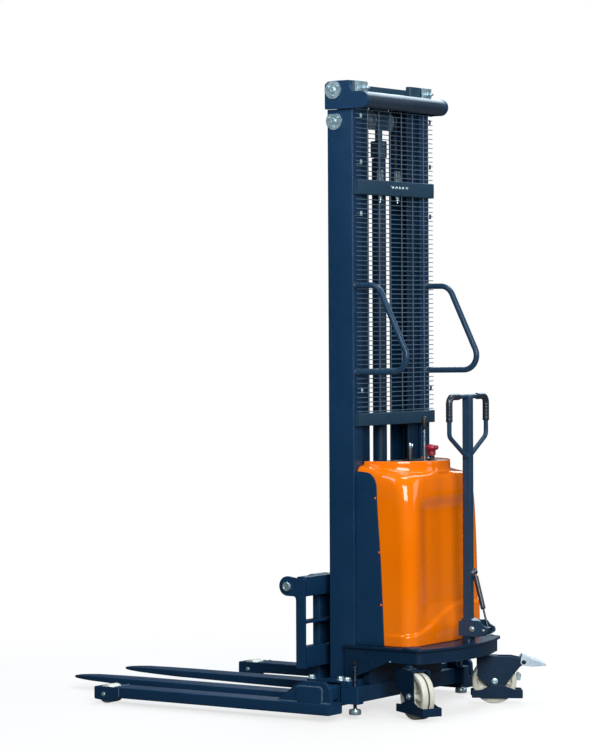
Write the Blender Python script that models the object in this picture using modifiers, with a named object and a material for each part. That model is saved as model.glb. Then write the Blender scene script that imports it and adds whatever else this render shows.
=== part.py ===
"""Semi-electric straddle stacker: duplex lift mast on a wheeled chassis with two forks, two
straddle legs of adjustable spread, a pump unit under a moulded cover and a tilting tiller.

Metres, +Z up.  X is the width (+X is the truck's left), the forks point to -Y and the operator
stands at +Y.  The floor is Z = 0 and the mast's rear face is the plane Y = 0 here; everything is
shifted along Y at the end so that the origin lies under the middle of the bounding box.
"""
import math

import bmesh
import bpy
from mathutils import Matrix, Vector

# ------------------------------------------------------------------ driving dimensions
GAP = 0.0003                     # clearance between pieces that touch
Y_SHIFT = 0.4700                 # puts the origin under the middle of the bounding box

MAST_HALF = 0.266                # outer face of the outer mast channels
MAST_DEPTH = 0.111               # depth of the outer channel
MAST_BOTTOM = 0.1303
MAST_TOP = 2.2275
OUTER_FLANGE = 0.060
OUTER_WALL = 0.012
INNER_OUT = 0.224                # back of the inner channel's web
INNER_IN = 0.134                 # lip of the inner channel's flanges
INNER_FRONT, INNER_REAR = -0.0975, -0.0135
INNER_WALL = 0.009
INNER_BOTTOM, INNER_TOP = 0.136, 2.300
CYL_Y = -0.056                   # axis of the lift cylinder and of the chain pulleys
PULLEY_X, PULLEY_Z, PULLEY_R = 0.060, 2.200, 0.033

CAR_HALF = 0.374                 # outer face of the carriage side plates
CAR_FRONT, CAR_REAR = -0.1885, -0.150
CAR_LOW, CAR_HIGH = 0.1675, 0.506
SHAFT_Y, SHAFT_Z, SHAFT_R = -0.2265, 0.468, 0.017

FORK_X, FORK_W = 0.164, 0.100
FORK_TIP, FORK_HEEL, SHANK_REAR = -1.390, -0.2225, -0.1895
FORK_LOW, FORK_TOP = 0.020, 0.052

LEG_IN, LEG_OUT = 0.427, 0.522
LEG_TIP, LEG_HEEL = -1.019, 0.050
LEG_LOW, LEG_TOP = 0.0235, 0.0645
ROLLER_Y, ROLLER_R = -0.974, 0.035
TUBE_LOW, TUBE_HIGH = 0.064, 0.122          # cross tube of a leg
TUBE_FRONT, TUBE_REAR = -0.094, 0.012
SLEEVE_X = 0.395

BASE_HALF, BASE_CORNER_Y, BASE_REAR_Y = 0.292, 0.270, 0.362
BASE_TOP, BASE_THICK, SKIRT_LOW = 0.256, 0.010, 0.200
STEM_X, STEM_Y, TRAIL = 0.250, 0.230, 0.052
WHEEL_R, WHEEL_W = 0.085, 0.050

COVER_WALL, COVER_LOW, COLLAR_TOP = 0.004, 0.2565, 0.930

LEVER_X, LEVER_Y = 0.040, 0.165

TILLER_Y, PIVOT_Y, PIVOT_Z = 0.329, 0.361, 0.312
TILLER_TOP = 1.170

STEEL_BLUE = (0.018, 0.050, 0.105)
COLOURS = {
    # name: (base colour, metallic, roughness)
    "frame_paint": (STEEL_BLUE, 0.0, 0.42),
    "dark_paint": ((0.014, 0.024, 0.040), 0.0, 0.45),
    "cover_orange": ((0.85, 0.20, 0.010), 0.0, 0.16),
    "black_plastic": ((0.012, 0.013, 0.016), 0.0, 0.50),
    "red_plastic": ((0.36, 0.012, 0.030), 0.0, 0.35),
    "zinc": ((0.62, 0.66, 0.68), 1.0, 0.30),
    "chrome": ((0.80, 0.82, 0.84), 1.0, 0.08),
    "wheel_nylon": ((0.62, 0.58, 0.46), 0.0, 0.45),
    "chain_steel": ((0.10, 0.09, 0.08), 1.0, 0.45),
    "battery_case": ((0.03, 0.03, 0.035), 0.0, 0.60),
    "motor_grey": ((0.12, 0.13, 0.14), 0.2, 0.45),
}

for leftover in list(bpy.data.objects):
    bpy.data.objects.remove(leftover, do_unlink=True)

PARTS = bpy.data.collections.new("walkie_stacker")
TOOLS = bpy.data.collections.new("cutters")
for collection in (PARTS, TOOLS):
    bpy.context.scene.collection.children.link(collection)


# ------------------------------------------------------------------ helpers
def material(name):
    """Principled material of the palette, made once."""
    found = bpy.data.materials.get(name)
    if found:
        return found
    colour, metallic, roughness = COLOURS[name]
    made = bpy.data.materials.new(name)
    made.use_nodes = True
    shader = made.node_tree.nodes["Principled BSDF"]
    shader.inputs["Base Color"].default_value = (*colour, 1.0)
    shader.inputs["Metallic"].default_value = metallic
    shader.inputs["Roughness"].default_value = roughness
    made.diffuse_color = (*colour, 1.0)
    return made


def body(name, origin):
    """Empty on a joint's axis, the parent of that body's pieces."""
    empty = bpy.data.objects.new("body_" + name, None)
    empty.location = origin
    PARTS.objects.link(empty)
    return empty


def finish(obj, paint, parent=None):
    """Give a piece its material, smooth shading and parent."""
    obj.data.materials.clear()
    obj.data.materials.append(material(paint))
    obj.data.shade_smooth()
    obj.data.set_sharp_from_angle(angle=math.radians(35))
    if parent:
        obj.parent = parent
        obj.matrix_parent_inverse = Matrix.Translation(-parent.location)
    return obj


def mesh_object(name, bm, tool=False):
    bmesh.ops.recalc_face_normals(bm, faces=bm.faces)
    mesh = bpy.data.meshes.new(name)
    bm.to_mesh(mesh)
    bm.free()
    obj = bpy.data.objects.new(name, mesh)
    (TOOLS if tool else PARTS).objects.link(obj)
    if tool:
        obj.hide_render = True
        obj.display_type = "WIRE"
    return obj


def box(name, low, high, tool=False, bevel=0.0, segments=2, edges="all"):
    """Box between two corners; bevel rounds all its edges or those along one axis."""
    low, high = Vector(low), Vector(high)
    bm = bmesh.new()
    bmesh.ops.create_cube(bm, size=1.0)
    bmesh.ops.scale(bm, vec=high - low, verts=bm.verts)
    bmesh.ops.translate(bm, vec=(low + high) / 2, verts=bm.verts)
    if bevel:
        chosen = list(bm.edges)
        if edges != "all":
            axis = "xyz".index(edges)
            chosen = [
                e for e in bm.edges
                if abs(e.verts[0].co[axis] - e.verts[1].co[axis]) > 1e-6
            ]
        bmesh.ops.bevel(bm, geom=chosen, offset=bevel, segments=segments,
                        profile=0.5, affect="EDGES")
    return mesh_object(name, bm, tool)


def rod(name, start, end, radius, tool=False, sides=20, end_radius=None):
    """Cylinder, or a cone, from start to end."""
    start, end = Vector(start), Vector(end)
    bm = bmesh.new()
    bmesh.ops.create_cone(bm, cap_ends=True, segments=sides, radius1=radius,
                          radius2=radius if end_radius is None else end_radius,
                          depth=(end - start).length)
    turn = (end - start).to_track_quat("Z", "Y").to_matrix().to_4x4()
    bmesh.ops.transform(bm, matrix=Matrix.Translation((start + end) / 2) @ turn,
                        verts=bm.verts)
    return mesh_object(name, bm, tool)


def turned(name, profile, start, direction, tool=False, sides=24):
    """Solid of revolution: profile holds (radius, height) pairs along direction from start."""
    bm = bmesh.new()
    previous = None
    for radius, height in [(0.0, profile[0][1]), *profile, (0.0, profile[-1][1])]:
        vert = bm.verts.new((radius, 0.0, height))
        if previous:
            bm.edges.new((previous, vert))
        previous = vert
    bmesh.ops.spin(bm, geom=bm.verts[:] + bm.edges[:], cent=(0, 0, 0), axis=(0, 0, 1),
                   angle=math.tau, steps=sides, use_merge=True)
    bmesh.ops.remove_doubles(bm, verts=bm.verts, dist=1e-6)
    turn = Vector(direction).to_track_quat("Z", "Y").to_matrix().to_4x4()
    bmesh.ops.transform(bm, matrix=Matrix.Translation(start) @ turn, verts=bm.verts)
    return mesh_object(name, bm, tool)


def ring(name, profile, start, direction, sides=24):
    """Bored solid of revolution: profile is the closed section as (radius, height) pairs."""
    bm = bmesh.new()
    verts = [bm.verts.new((radius, 0.0, height)) for radius, height in profile]
    for first, second in zip(verts, verts[1:] + verts[:1]):
        bm.edges.new((first, second))
    bmesh.ops.spin(bm, geom=bm.verts[:] + bm.edges[:], cent=(0, 0, 0), axis=(0, 0, 1),
                   angle=math.tau, steps=sides, use_merge=True)
    bmesh.ops.remove_doubles(bm, verts=bm.verts, dist=1e-6)
    turn = Vector(direction).to_track_quat("Z", "Y").to_matrix().to_4x4()
    bmesh.ops.transform(bm, matrix=Matrix.Translation(start) @ turn, verts=bm.verts)
    return mesh_object(name, bm)


def mirrored_section(half):
    """Section that is the same on both sides of its middle plane, from one half's points."""
    return [(radius, -height) for radius, height in half] + list(reversed(half))


def arc(cx, cy, radius, start, end, count=6):
    """Points of an arc, angles in degrees."""
    step = (end - start) / count
    return [
        (cx + radius * math.cos(math.radians(start + step * i)),
         cy + radius * math.sin(math.radians(start + step * i)))
        for i in range(count + 1)
    ]


PLANES = {
    # drawing plane: columns that send the sketch's x, y and normal to world axes
    "xy": Matrix(((1, 0, 0), (0, 1, 0), (0, 0, 1))),
    "yz": Matrix(((0, 0, 1), (1, 0, 0), (0, 1, 0))),
    "xz": Matrix(((1, 0, 0), (0, 0, -1), (0, 1, 0))),
}


def plate(name, outline, plane, near, far, tool=False):
    """Flat outline in a plane, filled and extruded between near and far along its normal."""
    curve = bpy.data.curves.new(name, "CURVE")
    curve.dimensions = "2D"
    curve.fill_mode = "BOTH"
    curve.extrude = abs(far - near) / 2
    spline = curve.splines.new("POLY")
    spline.points.add(len(outline) - 1)
    for point, (x, y) in zip(spline.points, outline):
        point.co = (x, y, 0, 1)
    spline.use_cyclic_u = True
    frame = PLANES[plane].to_4x4()
    sign = -1 if plane == "xz" else 1
    frame = frame @ Matrix.Translation((0, 0, sign * (near + far) / 2))
    return curve_to_mesh(name, curve, frame, tool)


def curve_to_mesh(name, curve, frame, tool):
    """Closed mesh of a curve object; the curve itself is removed."""
    source = bpy.data.objects.new(name + "_curve", curve)
    source.matrix_world = frame
    PARTS.objects.link(source)
    bpy.context.view_layer.update()
    evaluated = source.evaluated_get(bpy.context.evaluated_depsgraph_get())
    mesh = bpy.data.meshes.new_from_object(evaluated)
    bm = bmesh.new()
    bm.from_mesh(mesh)
    bmesh.ops.remove_doubles(bm, verts=bm.verts, dist=1e-6)
    bmesh.ops.transform(bm, matrix=source.matrix_world, verts=bm.verts)
    bpy.data.objects.remove(source)
    bpy.data.meshes.remove(mesh)
    return mesh_object(name, bm, tool)


def rounded_path(points, radius, steps=4):
    """Polyline with its inner corners replaced by arcs of about the given radius."""
    points = [Vector(p) for p in points]
    path = [points[0]]
    for before, corner, after in zip(points, points[1:], points[2:]):
        a = (before - corner).normalized()
        b = (after - corner).normalized()
        half = a.angle(b) / 2
        reach = min(radius / math.tan(half), (before - corner).length * 0.49,
                    (after - corner).length * 0.49)
        centre_way = (a + b).normalized()
        size = reach * math.tan(half)
        centre = corner + centre_way * (reach / math.cos(half))
        first = corner + a * reach - centre
        last = corner + b * reach - centre
        sweep = first.angle(last)
        turn = first.cross(last).normalized()
        for i in range(steps + 1):
            spoke = first.normalized() * size
            spoke.rotate(Matrix.Rotation(sweep * i / steps, 3, turn))
            path.append(centre + spoke)
    path.append(points[-1])
    return path


def tube(name, points, radius, tool=False, fineness=2):
    """Round bar along a path of points, with filled ends."""
    curve = bpy.data.curves.new(name, "CURVE")
    curve.dimensions = "3D"
    curve.bevel_depth = radius
    curve.bevel_resolution = fineness
    curve.use_fill_caps = True
    spline = curve.splines.new("POLY")
    spline.points.add(len(points) - 1)
    for point, place in zip(spline.points, points):
        point.co = (*place, 1)
    return curve_to_mesh(name, curve, Matrix.Identity(4), tool)


def boolean(obj, tool, operation):
    """Join, cut or intersect with another shape, which becomes a hidden tool."""
    if tool.name not in TOOLS.objects:
        PARTS.objects.unlink(tool)
        TOOLS.objects.link(tool)
    tool.hide_render = True
    tool.display_type = "WIRE"
    step = obj.modifiers.new(operation.lower(), "BOOLEAN")
    step.operation = operation
    step.object = tool
    step.solver = "EXACT"
    return obj


def join(obj, *tools):
    for tool in tools:
        boolean(obj, tool, "UNION")
    return obj


def cut(obj, *tools):
    for tool in tools:
        boolean(obj, tool, "DIFFERENCE")
    return obj


SIDES = (("L", 1), ("R", -1))    # +X is the truck's left


def span(side, near, far):
    """Ordered X range of something between near and far from the middle."""
    return min(side * near, side * far), max(side * near, side * far)


# ------------------------------------------------------------------ bodies (parents on joint axes)
inner_mast = body("inner_mast", (0, CYL_Y, INNER_BOTTOM))
carriage = body("carriage", (0, CAR_REAR, CAR_LOW))
tiller_swivel = body("tiller_swivel", (0, TILLER_Y, BASE_TOP))
tiller = body("tiller", (0, PIVOT_Y, PIVOT_Z))


# ------------------------------------------------------------------ outer mast
def channel_outline(side, out, lip, front, rear, wall):
    """C section opening towards the middle."""
    points = [(out, front), (out, rear), (lip, rear), (lip, rear - wall),
              (out - wall, rear - wall), (out - wall, front + wall),
              (lip, front + wall), (lip, front)]
    return [(side * x, y) for x, y in points]


def outer_mast():
    for tag, side in SIDES:
        section = channel_outline(side, MAST_HALF, MAST_HALF - OUTER_FLANGE,
                                  -MAST_DEPTH, 0.0, OUTER_WALL)
        channel = plate("outer_channel_" + tag, section, "xy", MAST_BOTTOM, MAST_TOP)
        finish(channel, "frame_paint")
        # roller cover: flanged disc with three screws and a flat cut on its top
        x = side * (MAST_HALF + GAP)
        disc = turned("outer_disc_" + tag,
                      [(0.0335, 0.0), (0.0335, 0.004), (0.031, 0.006), (0.010, 0.006),
                       (0.0095, 0.010)],
                      (x, -0.079, 2.186), (side, 0, 0))
        low, high = span(side, MAST_HALF - 0.01, MAST_HALF + 0.02)
        cut(disc, box("disc_flat_" + tag, (low, -0.13, 2.2117), (high, -0.03, 2.25), tool=True))
        finish(disc, "zinc")


def cross_brackets():
    """Two bars across the rear faces of the outer channels."""
    half = MAST_HALF - 0.002
    upper = box("upper_bracket", (-half, GAP, 1.914), (half, 0.0245, 1.970), bevel=0.003,
                segments=1)
    for tag, side in SIDES:
        # lugs in front of the bar that hold the fixed ends of the lift chains
        low, high = span(side, PULLEY_X - 0.012, PULLEY_X + 0.012)
        join(upper, box("anchor_lug_" + tag, (low, -0.012, 1.922), (high, 0.004, 1.944),
                        tool=True))
    finish(upper, "dark_paint")
    lower = box("lower_bracket", (-half, GAP, 1.0603), (half, 0.0245, 1.1072), bevel=0.003,
                segments=1)
    finish(lower, "dark_paint")


GUARD_WIRE = 0.004
GUARD_COLUMNS = 6
GUARD_LOW, GUARD_HIGH, GUARD_HALF = 1.112, 2.222, 0.266


def guard_bars(name, y, low, high, rows):
    """One flat panel of welded wires: a plate with a window cut between each pair of wires."""
    bm = bmesh.new()
    pitch_x = 2 * 0.195 / (GUARD_COLUMNS - 1)
    uprights = [-0.195 + pitch_x * i for i in range(GUARD_COLUMNS)]
    half = GUARD_WIRE / 2
    xs = sorted([-GUARD_HALF, GUARD_HALF] + [x + s for x in uprights for s in (-half, half)])
    pitch_z = (high - low - GUARD_WIRE) / (rows - 1)
    levels = [low + half + pitch_z * i for i in range(rows)]
    zs = sorted(z + s for z in levels for s in (-half, half))
    grid = [[bm.verts.new((x, y, z)) for z in zs] for x in xs]
    for i in range(len(xs) - 1):
        for j in range(len(zs) - 1):
            on_upright, on_level = i % 2 == 1, j % 2 == 0
            if on_upright or on_level:
                bm.faces.new((grid[i][j], grid[i + 1][j], grid[i + 1][j + 1], grid[i][j + 1]))
    panel = mesh_object(name, bm)
    solid = panel.modifiers.new("thickness", "SOLIDIFY")
    solid.thickness = GUARD_WIRE
    solid.offset = 0.0
    return panel


def mesh_guard():
    """Wire guard behind the mast in two panels, above and below the upper bracket."""
    y = 0.0030 + GUARD_WIRE / 2
    panels = (("guard_upper", 1.9715, GUARD_HIGH, 5), ("guard_lower", GUARD_LOW, 1.9125, 10))
    for name, low, high, rows in panels:
        finish(guard_bars(name, y, low, high, rows), "dark_paint")


def grab_handles():
    for tag, side in SIDES:
        x = side * 0.2483
        corners = [(x, GAP, 1.5795), (x, 0.098, 1.5795), (x, 0.252, 1.2625), (x, GAP, 1.2595)]
        path = rounded_path(corners, 0.055, 5)
        finish(tube("grab_handle_" + tag, path, 0.011), "frame_paint")


# ------------------------------------------------------------------ inner mast
def inner_mast_parts():
    for tag, side in SIDES:
        section = channel_outline(side, INNER_OUT, INNER_IN, INNER_FRONT, INNER_REAR, INNER_WALL)
        channel = plate("inner_channel_" + tag, section, "xy", INNER_BOTTOM, INNER_TOP)
        finish(channel, "dark_paint", inner_mast)
        # cap plate that overhangs the outer channel, with a round nose for the top tube
        nose = arc(0.0485, 2.2598, 0.0312, -90, 90, 8)
        outline = [(-0.1000, 2.2283), *nose, (0.012, 2.2910), (0.002, 2.300), (-0.004, 2.333),
                   (-0.097, 2.333), (-0.1108, 2.322), (-0.1108, 2.236)]
        low, high = span(side, 0.2703, 0.2823)
        cap = plate("cap_plate_" + tag, outline, "yz", low, high)
        finish(cap, "frame_paint", inner_mast)
        disc = turned("inner_disc_" + tag,
                      [(0.0335, 0.0), (0.0335, 0.004), (0.031, 0.006), (0.010, 0.006),
                       (0.0095, 0.010)],
                      (side * (0.2823 + GAP), -0.0715, 2.2985), (side, 0, 0))
        finish(disc, "zinc", inner_mast)
    # cross plate that ties channels and cap plates together above the outer mast
    inner = 0.2703 - GAP
    tie = box("top_cross_plate", (-inner, INNER_REAR + GAP, 2.270), (inner, 0.0005, 2.318))
    join(tie, box("tie_shelf", (-inner, -0.100, 2.3003), (inner, -0.006, 2.312), tool=True))
    finish(tie, "dark_paint", inner_mast)
    top = rod("top_tube", (-inner, 0.0485, 2.2598), (inner, 0.0485, 2.2598), 0.030, sides=28)
    # webs from the cross plate to the tube
    for tag, side in SIDES:
        low, high = span(side, 0.205, 0.225)
        join(top, box("tube_web_" + tag, (low, 0.0008, 2.272), (high, 0.040, 2.286), tool=True))
    finish(top, "dark_paint", inner_mast)
    bottom = box("inner_tie", (-INNER_IN + GAP, INNER_FRONT, INNER_BOTTOM),
                 (INNER_IN - GAP, INNER_FRONT + INNER_WALL, INNER_BOTTOM + 0.030))
    finish(bottom, "dark_paint", inner_mast)


def lift_cylinder():
    """Single-acting cylinder behind the carriage, its ram carrying the chain pulleys."""
    barrel = rod("lift_cylinder", (0, CYL_Y, 0.1303), (0, CYL_Y, 2.058), 0.0265, sides=24)
    cut(barrel, rod("barrel_bore", (0, CYL_Y, 0.160), (0, CYL_Y, 2.10), 0.0195, tool=True,
                    sides=24))
    finish(barrel, "dark_paint")
    ram = turned("ram", [(0.018, 0.175), (0.018, 2.0610), (0.0305, 2.0612), (0.0305, 2.123),
                         (0.0140, 2.1235), (0.0140, 2.175)],
                 (0, CYL_Y, 0), (0, 0, 1))
    reach = PULLEY_X + 0.018
    join(ram,
         box("crosshead", (-0.0450, CYL_Y - 0.016, 2.165), (0.0450, CYL_Y + 0.016, 2.245),
             tool=True),
         rod("pulley_axle", (-reach, CYL_Y, PULLEY_Z), (reach, CYL_Y, PULLEY_Z), 0.010,
             tool=True, sides=16),
         box("crosshead_rise", (-0.020, CYL_Y - 0.014, 2.240), (0.020, CYL_Y + 0.014, 2.3000),
             tool=True))
    finish(ram, "frame_paint", inner_mast)
    for tag, side in SIDES:
        section = mirrored_section([(0.0106, 0.012), (0.036, 0.012), (0.036, 0.009),
                                    (PULLEY_R - 0.003, 0.008)])
        wheel = ring("pulley_" + tag, section, (side * PULLEY_X, CYL_Y, PULLEY_Z), (1, 0, 0))
        axis = body("pulley_" + tag, (side * PULLEY_X, CYL_Y, PULLEY_Z))
        finish(wheel, "motor_grey", axis)


CHAIN_W, CHAIN_T = 0.014, 0.0045


def chains():
    """Each lift chain as its two straight strands, behind and in front of its pulley."""
    for tag, side in SIDES:
        low, high = span(side, PULLEY_X - CHAIN_W / 2, PULLEY_X + CHAIN_W / 2)
        rear_y = CYL_Y + PULLEY_R + CHAIN_T / 2
        rear = box("chain_rear_" + tag, (low, rear_y - CHAIN_T / 2 + 0.001, 1.9443),
                   (high, rear_y + CHAIN_T / 2 + 0.001, PULLEY_Z))
        join(rear, rod("chain_eye_" + tag, (side * PULLEY_X, rear_y, 1.9443),
                       (side * PULLEY_X, rear_y, 1.985), 0.007, tool=True, sides=12))
        finish(rear, "chain_steel", inner_mast)
        front_y = CYL_Y - PULLEY_R - CHAIN_T / 2
        front = box("chain_front_" + tag, (low, front_y - CHAIN_T / 2 - 0.001, 0.4343),
                    (high, front_y + CHAIN_T / 2 - 0.001, PULLEY_Z))
        finish(front, "chain_steel", carriage)


# ------------------------------------------------------------------ carriage and forks
def carriage_parts():
    """Welded frame: side plates with forward ears, three cross bars and the roller plates."""
    half = CAR_HALF
    ear = arc(SHAFT_Y, SHAFT_Z + 0.0015, 0.0365, 90, 270, 8)
    outline = [(CAR_REAR, CAR_LOW), (CAR_REAR, CAR_HIGH), *ear,
               (CAR_FRONT, SHAFT_Z - 0.035), (CAR_FRONT, CAR_LOW)]
    low, high = span(1, half - 0.012, half)
    frame = plate("carriage_frame", outline, "yz", low, high)
    other = plate("side_plate_R", outline, "yz", -high, -low, tool=True)
    bars = [
        box("bar_top", (-half + 0.006, CAR_FRONT, 0.433), (half - 0.006, CAR_REAR, CAR_HIGH),
            tool=True),
        box("bar_mid", (-half + 0.006, CAR_FRONT, 0.333), (half - 0.006, CAR_REAR, 0.344),
            tool=True),
        box("bar_low", (-half + 0.006, CAR_FRONT, 0.169), (half - 0.006, CAR_REAR, 0.248),
            tool=True),
    ]
    join(frame, other, *bars)
    for tag, side in SIDES:
        low, high = span(side, 0.119, 0.131)
        roller_low, roller_high = span(side, 0.121, 0.2105)
        join(frame, box("roller_plate_" + tag, (low, CAR_REAR - 0.01, 0.172),
                        (high, -0.028, 0.500), tool=True))
        for z in (0.215, 0.455):
            join(frame, rod("mast_roller_%s_%d" % (tag, round(z * 1000)),
                            (roller_low, -0.0555, z), (roller_high, -0.0555, z), 0.031,
                            tool=True, sides=24))
    join(frame, box("chain_bar", (-0.123, -0.112, 0.400), (0.123, -0.0875, 0.434), tool=True))
    # holes for the fork shaft
    cut(frame, rod("shaft_hole", (-half - 0.02, SHAFT_Y, SHAFT_Z), (half + 0.02, SHAFT_Y, SHAFT_Z),
                   SHAFT_R + GAP, tool=True))
    finish(frame, "frame_paint", carriage)
    shaft = rod("fork_shaft", (-half - 0.001, SHAFT_Y, SHAFT_Z), (half + 0.001, SHAFT_Y, SHAFT_Z),
                SHAFT_R)
    for tag, side in SIDES:
        start = side * (half + GAP)
        join(shaft, rod("shaft_head_" + tag, (start, SHAFT_Y, SHAFT_Z),
                        (start + side * 0.010, SHAFT_Y, SHAFT_Z), 0.0205, tool=True))
    finish(shaft, "zinc", carriage)


def forks():
    """Forged forks that hang from the shaft by an eye and lean against the cross bars."""
    taper = -1.02                 # where the underside starts to rise towards the tip
    profile = [(SHANK_REAR, FORK_LOW + 0.012), (SHANK_REAR, 0.440), (FORK_HEEL, 0.440),
               (FORK_HEEL, FORK_TOP + 0.012), (FORK_HEEL - 0.012, FORK_TOP),
               (FORK_TIP + 0.06, FORK_TOP), (FORK_TIP, FORK_TOP - 0.007),
               (FORK_TIP, FORK_TOP - 0.013), (FORK_TIP + 0.05, FORK_TOP - 0.018),
               (taper, FORK_LOW + 0.006), (-0.60, FORK_LOW), (SHANK_REAR - 0.012, FORK_LOW)]
    for tag, side in SIDES:
        low, high = span(side, FORK_X - FORK_W / 2, FORK_X + FORK_W / 2)
        middle = side * FORK_X
        fork = plate("fork_" + tag, profile, "yz", low, high)
        tip = arc(middle, FORK_TIP + 0.030, 0.030, 180, 360, 6)
        plan = [(low, SHANK_REAR + 0.05), (low, FORK_TIP + 0.30), *tip,
                (high, FORK_TIP + 0.30), (high, SHANK_REAR + 0.05)]
        boolean(fork, plate("fork_plan_" + tag, plan, "xy", 0.0, 0.47, tool=True), "INTERSECT")
        join(fork, rod("fork_eye_" + tag, (low, SHAFT_Y, SHAFT_Z), (high, SHAFT_Y, SHAFT_Z),
                       0.0345, tool=True, sides=24))
        cut(fork, rod("fork_bore_" + tag, (low - 0.01, SHAFT_Y, SHAFT_Z),
                      (high + 0.01, SHAFT_Y, SHAFT_Z), SHAFT_R + 0.0006, tool=True, sides=24))
        finish(fork, "frame_paint", body("fork_" + tag, (middle, SHAFT_Y, SHAFT_Z)))


# ------------------------------------------------------------------ straddle legs
def legs():
    """Box legs with a load roller at the tip; each rides on a cross tube in the sleeve."""
    for tag, side in SIDES:
        axis = body("leg_" + tag, (side * 0.475, ROLLER_Y, ROLLER_R))
        low, high = span(side, LEG_IN, LEG_OUT)
        leg = box("leg_" + tag, (low, -0.925, LEG_LOW), (high, LEG_HEEL, LEG_TOP),
                  bevel=0.004, segments=1)
        cheek = [(-0.900, LEG_LOW + 0.001), (-0.900, LEG_TOP - 0.001), (LEG_TIP, LEG_TOP - 0.001),
                 (LEG_TIP, 0.0155), (-0.965, 0.0105), (-0.935, 0.0105)]
        for where, (a, b) in (("out", (LEG_OUT - 0.008, LEG_OUT + 0.001)),
                              ("in", (LEG_IN - 0.001, LEG_IN + 0.008))):
            x0, x1 = span(side, a, b)
            join(leg, plate("cheek_%s_%s" % (where, tag), cheek, "yz", x0, x1, tool=True))
        join(leg, box("tip_cap_" + tag, (low, LEG_TIP, 0.030), (high, LEG_TIP + 0.006, LEG_TOP),
                      tool=True))
        # axle with its bolt heads
        x0, x1 = span(side, LEG_IN - 0.006, LEG_OUT + 0.006)
        join(leg, rod("roller_axle_" + tag, (x0, ROLLER_Y, ROLLER_R), (x1, ROLLER_Y, ROLLER_R),
                      0.0080, tool=True, sides=16))
        # cross tube and the upright bracket that carries it
        x0, x1 = span(side, 0.050, 0.512)
        join(leg, box("cross_tube_" + tag, (x0, TUBE_FRONT, TUBE_LOW), (x1, TUBE_REAR, TUBE_HIGH),
                      tool=True, bevel=0.010, segments=2, edges="x"))
        bracket = [(-0.182, 0.060), (-0.100, 0.132), (-0.062, 0.143), *arc(0.018, 0.117, 0.026,
                   90, 20, 4), (0.0445, 0.110), (0.0500, 0.060)]
        x0, x1 = span(side, 0.484, 0.504)
        join(leg, plate("bracket_" + tag, bracket, "yz", x0, x1, tool=True))
        finish(leg, "frame_paint", axis)
        section = mirrored_section([(0.0086, 0.0345), (ROLLER_R - 0.002, 0.0345),
                                    (ROLLER_R, 0.0325)])
        roller = ring("load_roller_" + tag, section, (side * 0.4745, ROLLER_Y, ROLLER_R),
                      (1, 0, 0), sides=32)
        spin = body("load_roller_" + tag, (side * 0.4745, ROLLER_Y, ROLLER_R))
        finish(roller, "wheel_nylon", spin)


def leg_sleeve():
    """Cross housing under the mast: a sleeve for the leg tubes, clamp collars, jack blocks."""
    sleeve = box("leg_sleeve", (-SLEEVE_X, -0.106, 0.045), (SLEEVE_X, 0.024, 0.130))
    join(sleeve, box("rear_beam", (-0.358, 0.018, 0.052), (0.358, 0.058, 0.110), tool=True))
    for tag, side in SIDES:
        low, high = span(side, 0.352, SLEEVE_X)
        join(sleeve,
             box("collar_" + tag, (low, -0.128, 0.112), (high, 0.062, 0.136), tool=True),
             box("jack_block_" + tag, (low, 0.0195, 0.0535), (high, 0.0955, 0.1180),
                 tool=True))
        for place, (x, y) in enumerate(((0.376, -0.117), (0.376, 0.040), (0.366, 0.004))):
            join(sleeve, rod("clamp_bolt_%s_%d" % (tag, place), (side * x, y, 0.130),
                             (side * x, y, 0.150), 0.0085, tool=True, sides=6))
    cut(sleeve, box("tube_way", (-SLEEVE_X - 0.01, TUBE_FRONT - 0.001, TUBE_LOW - 0.001),
                    (SLEEVE_X + 0.01, TUBE_REAR + 0.001, TUBE_HIGH + 0.001), tool=True,
                    bevel=0.010, segments=2, edges="x"))
    for tag, side in SIDES:
        cut(sleeve, rod("jack_bore_" + tag, (side * 0.373, 0.070, 0.0),
                        (side * 0.373, 0.070, 0.13), 0.0076, tool=True, sides=16))
    finish(sleeve, "frame_paint")
    for tag, side in SIDES:
        axis = body("jack_" + tag, (side * 0.373, 0.070, 0.0145))
        jack = turned("jack_foot_" + tag,
                      [(0.019, 0.0145), (0.0225, 0.018), (0.0225, 0.032), (0.0205, 0.035),
                       (0.0072, 0.0355), (0.0072, 0.199), (0.0110, 0.1995), (0.0110, 0.213)],
                      (side * 0.373, 0.070, 0), (0, 0, 1), sides=20)
        finish(jack, "zinc", axis)


# ------------------------------------------------------------------ chassis
def base_outline(inset, front):
    """Plan of the base plate: straight sides, round corners and a bowed rear edge."""
    half = BASE_HALF - inset
    corner = 0.040
    bow_rise = BASE_REAR_Y - BASE_CORNER_Y - corner
    rear = []
    count = 8
    for i in range(1, count):
        x = (half - corner) * (1 - 2 * i / count)
        rear.append((x, BASE_REAR_Y - inset - bow_rise * (x / (half - corner)) ** 2))
    right = arc(half - corner, BASE_CORNER_Y - inset, corner, 0, 78, 4)
    left = [(-x, y) for x, y in reversed(right)]
    return [(half, front), *right, *rear, *left, (-half, front)]


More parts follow.
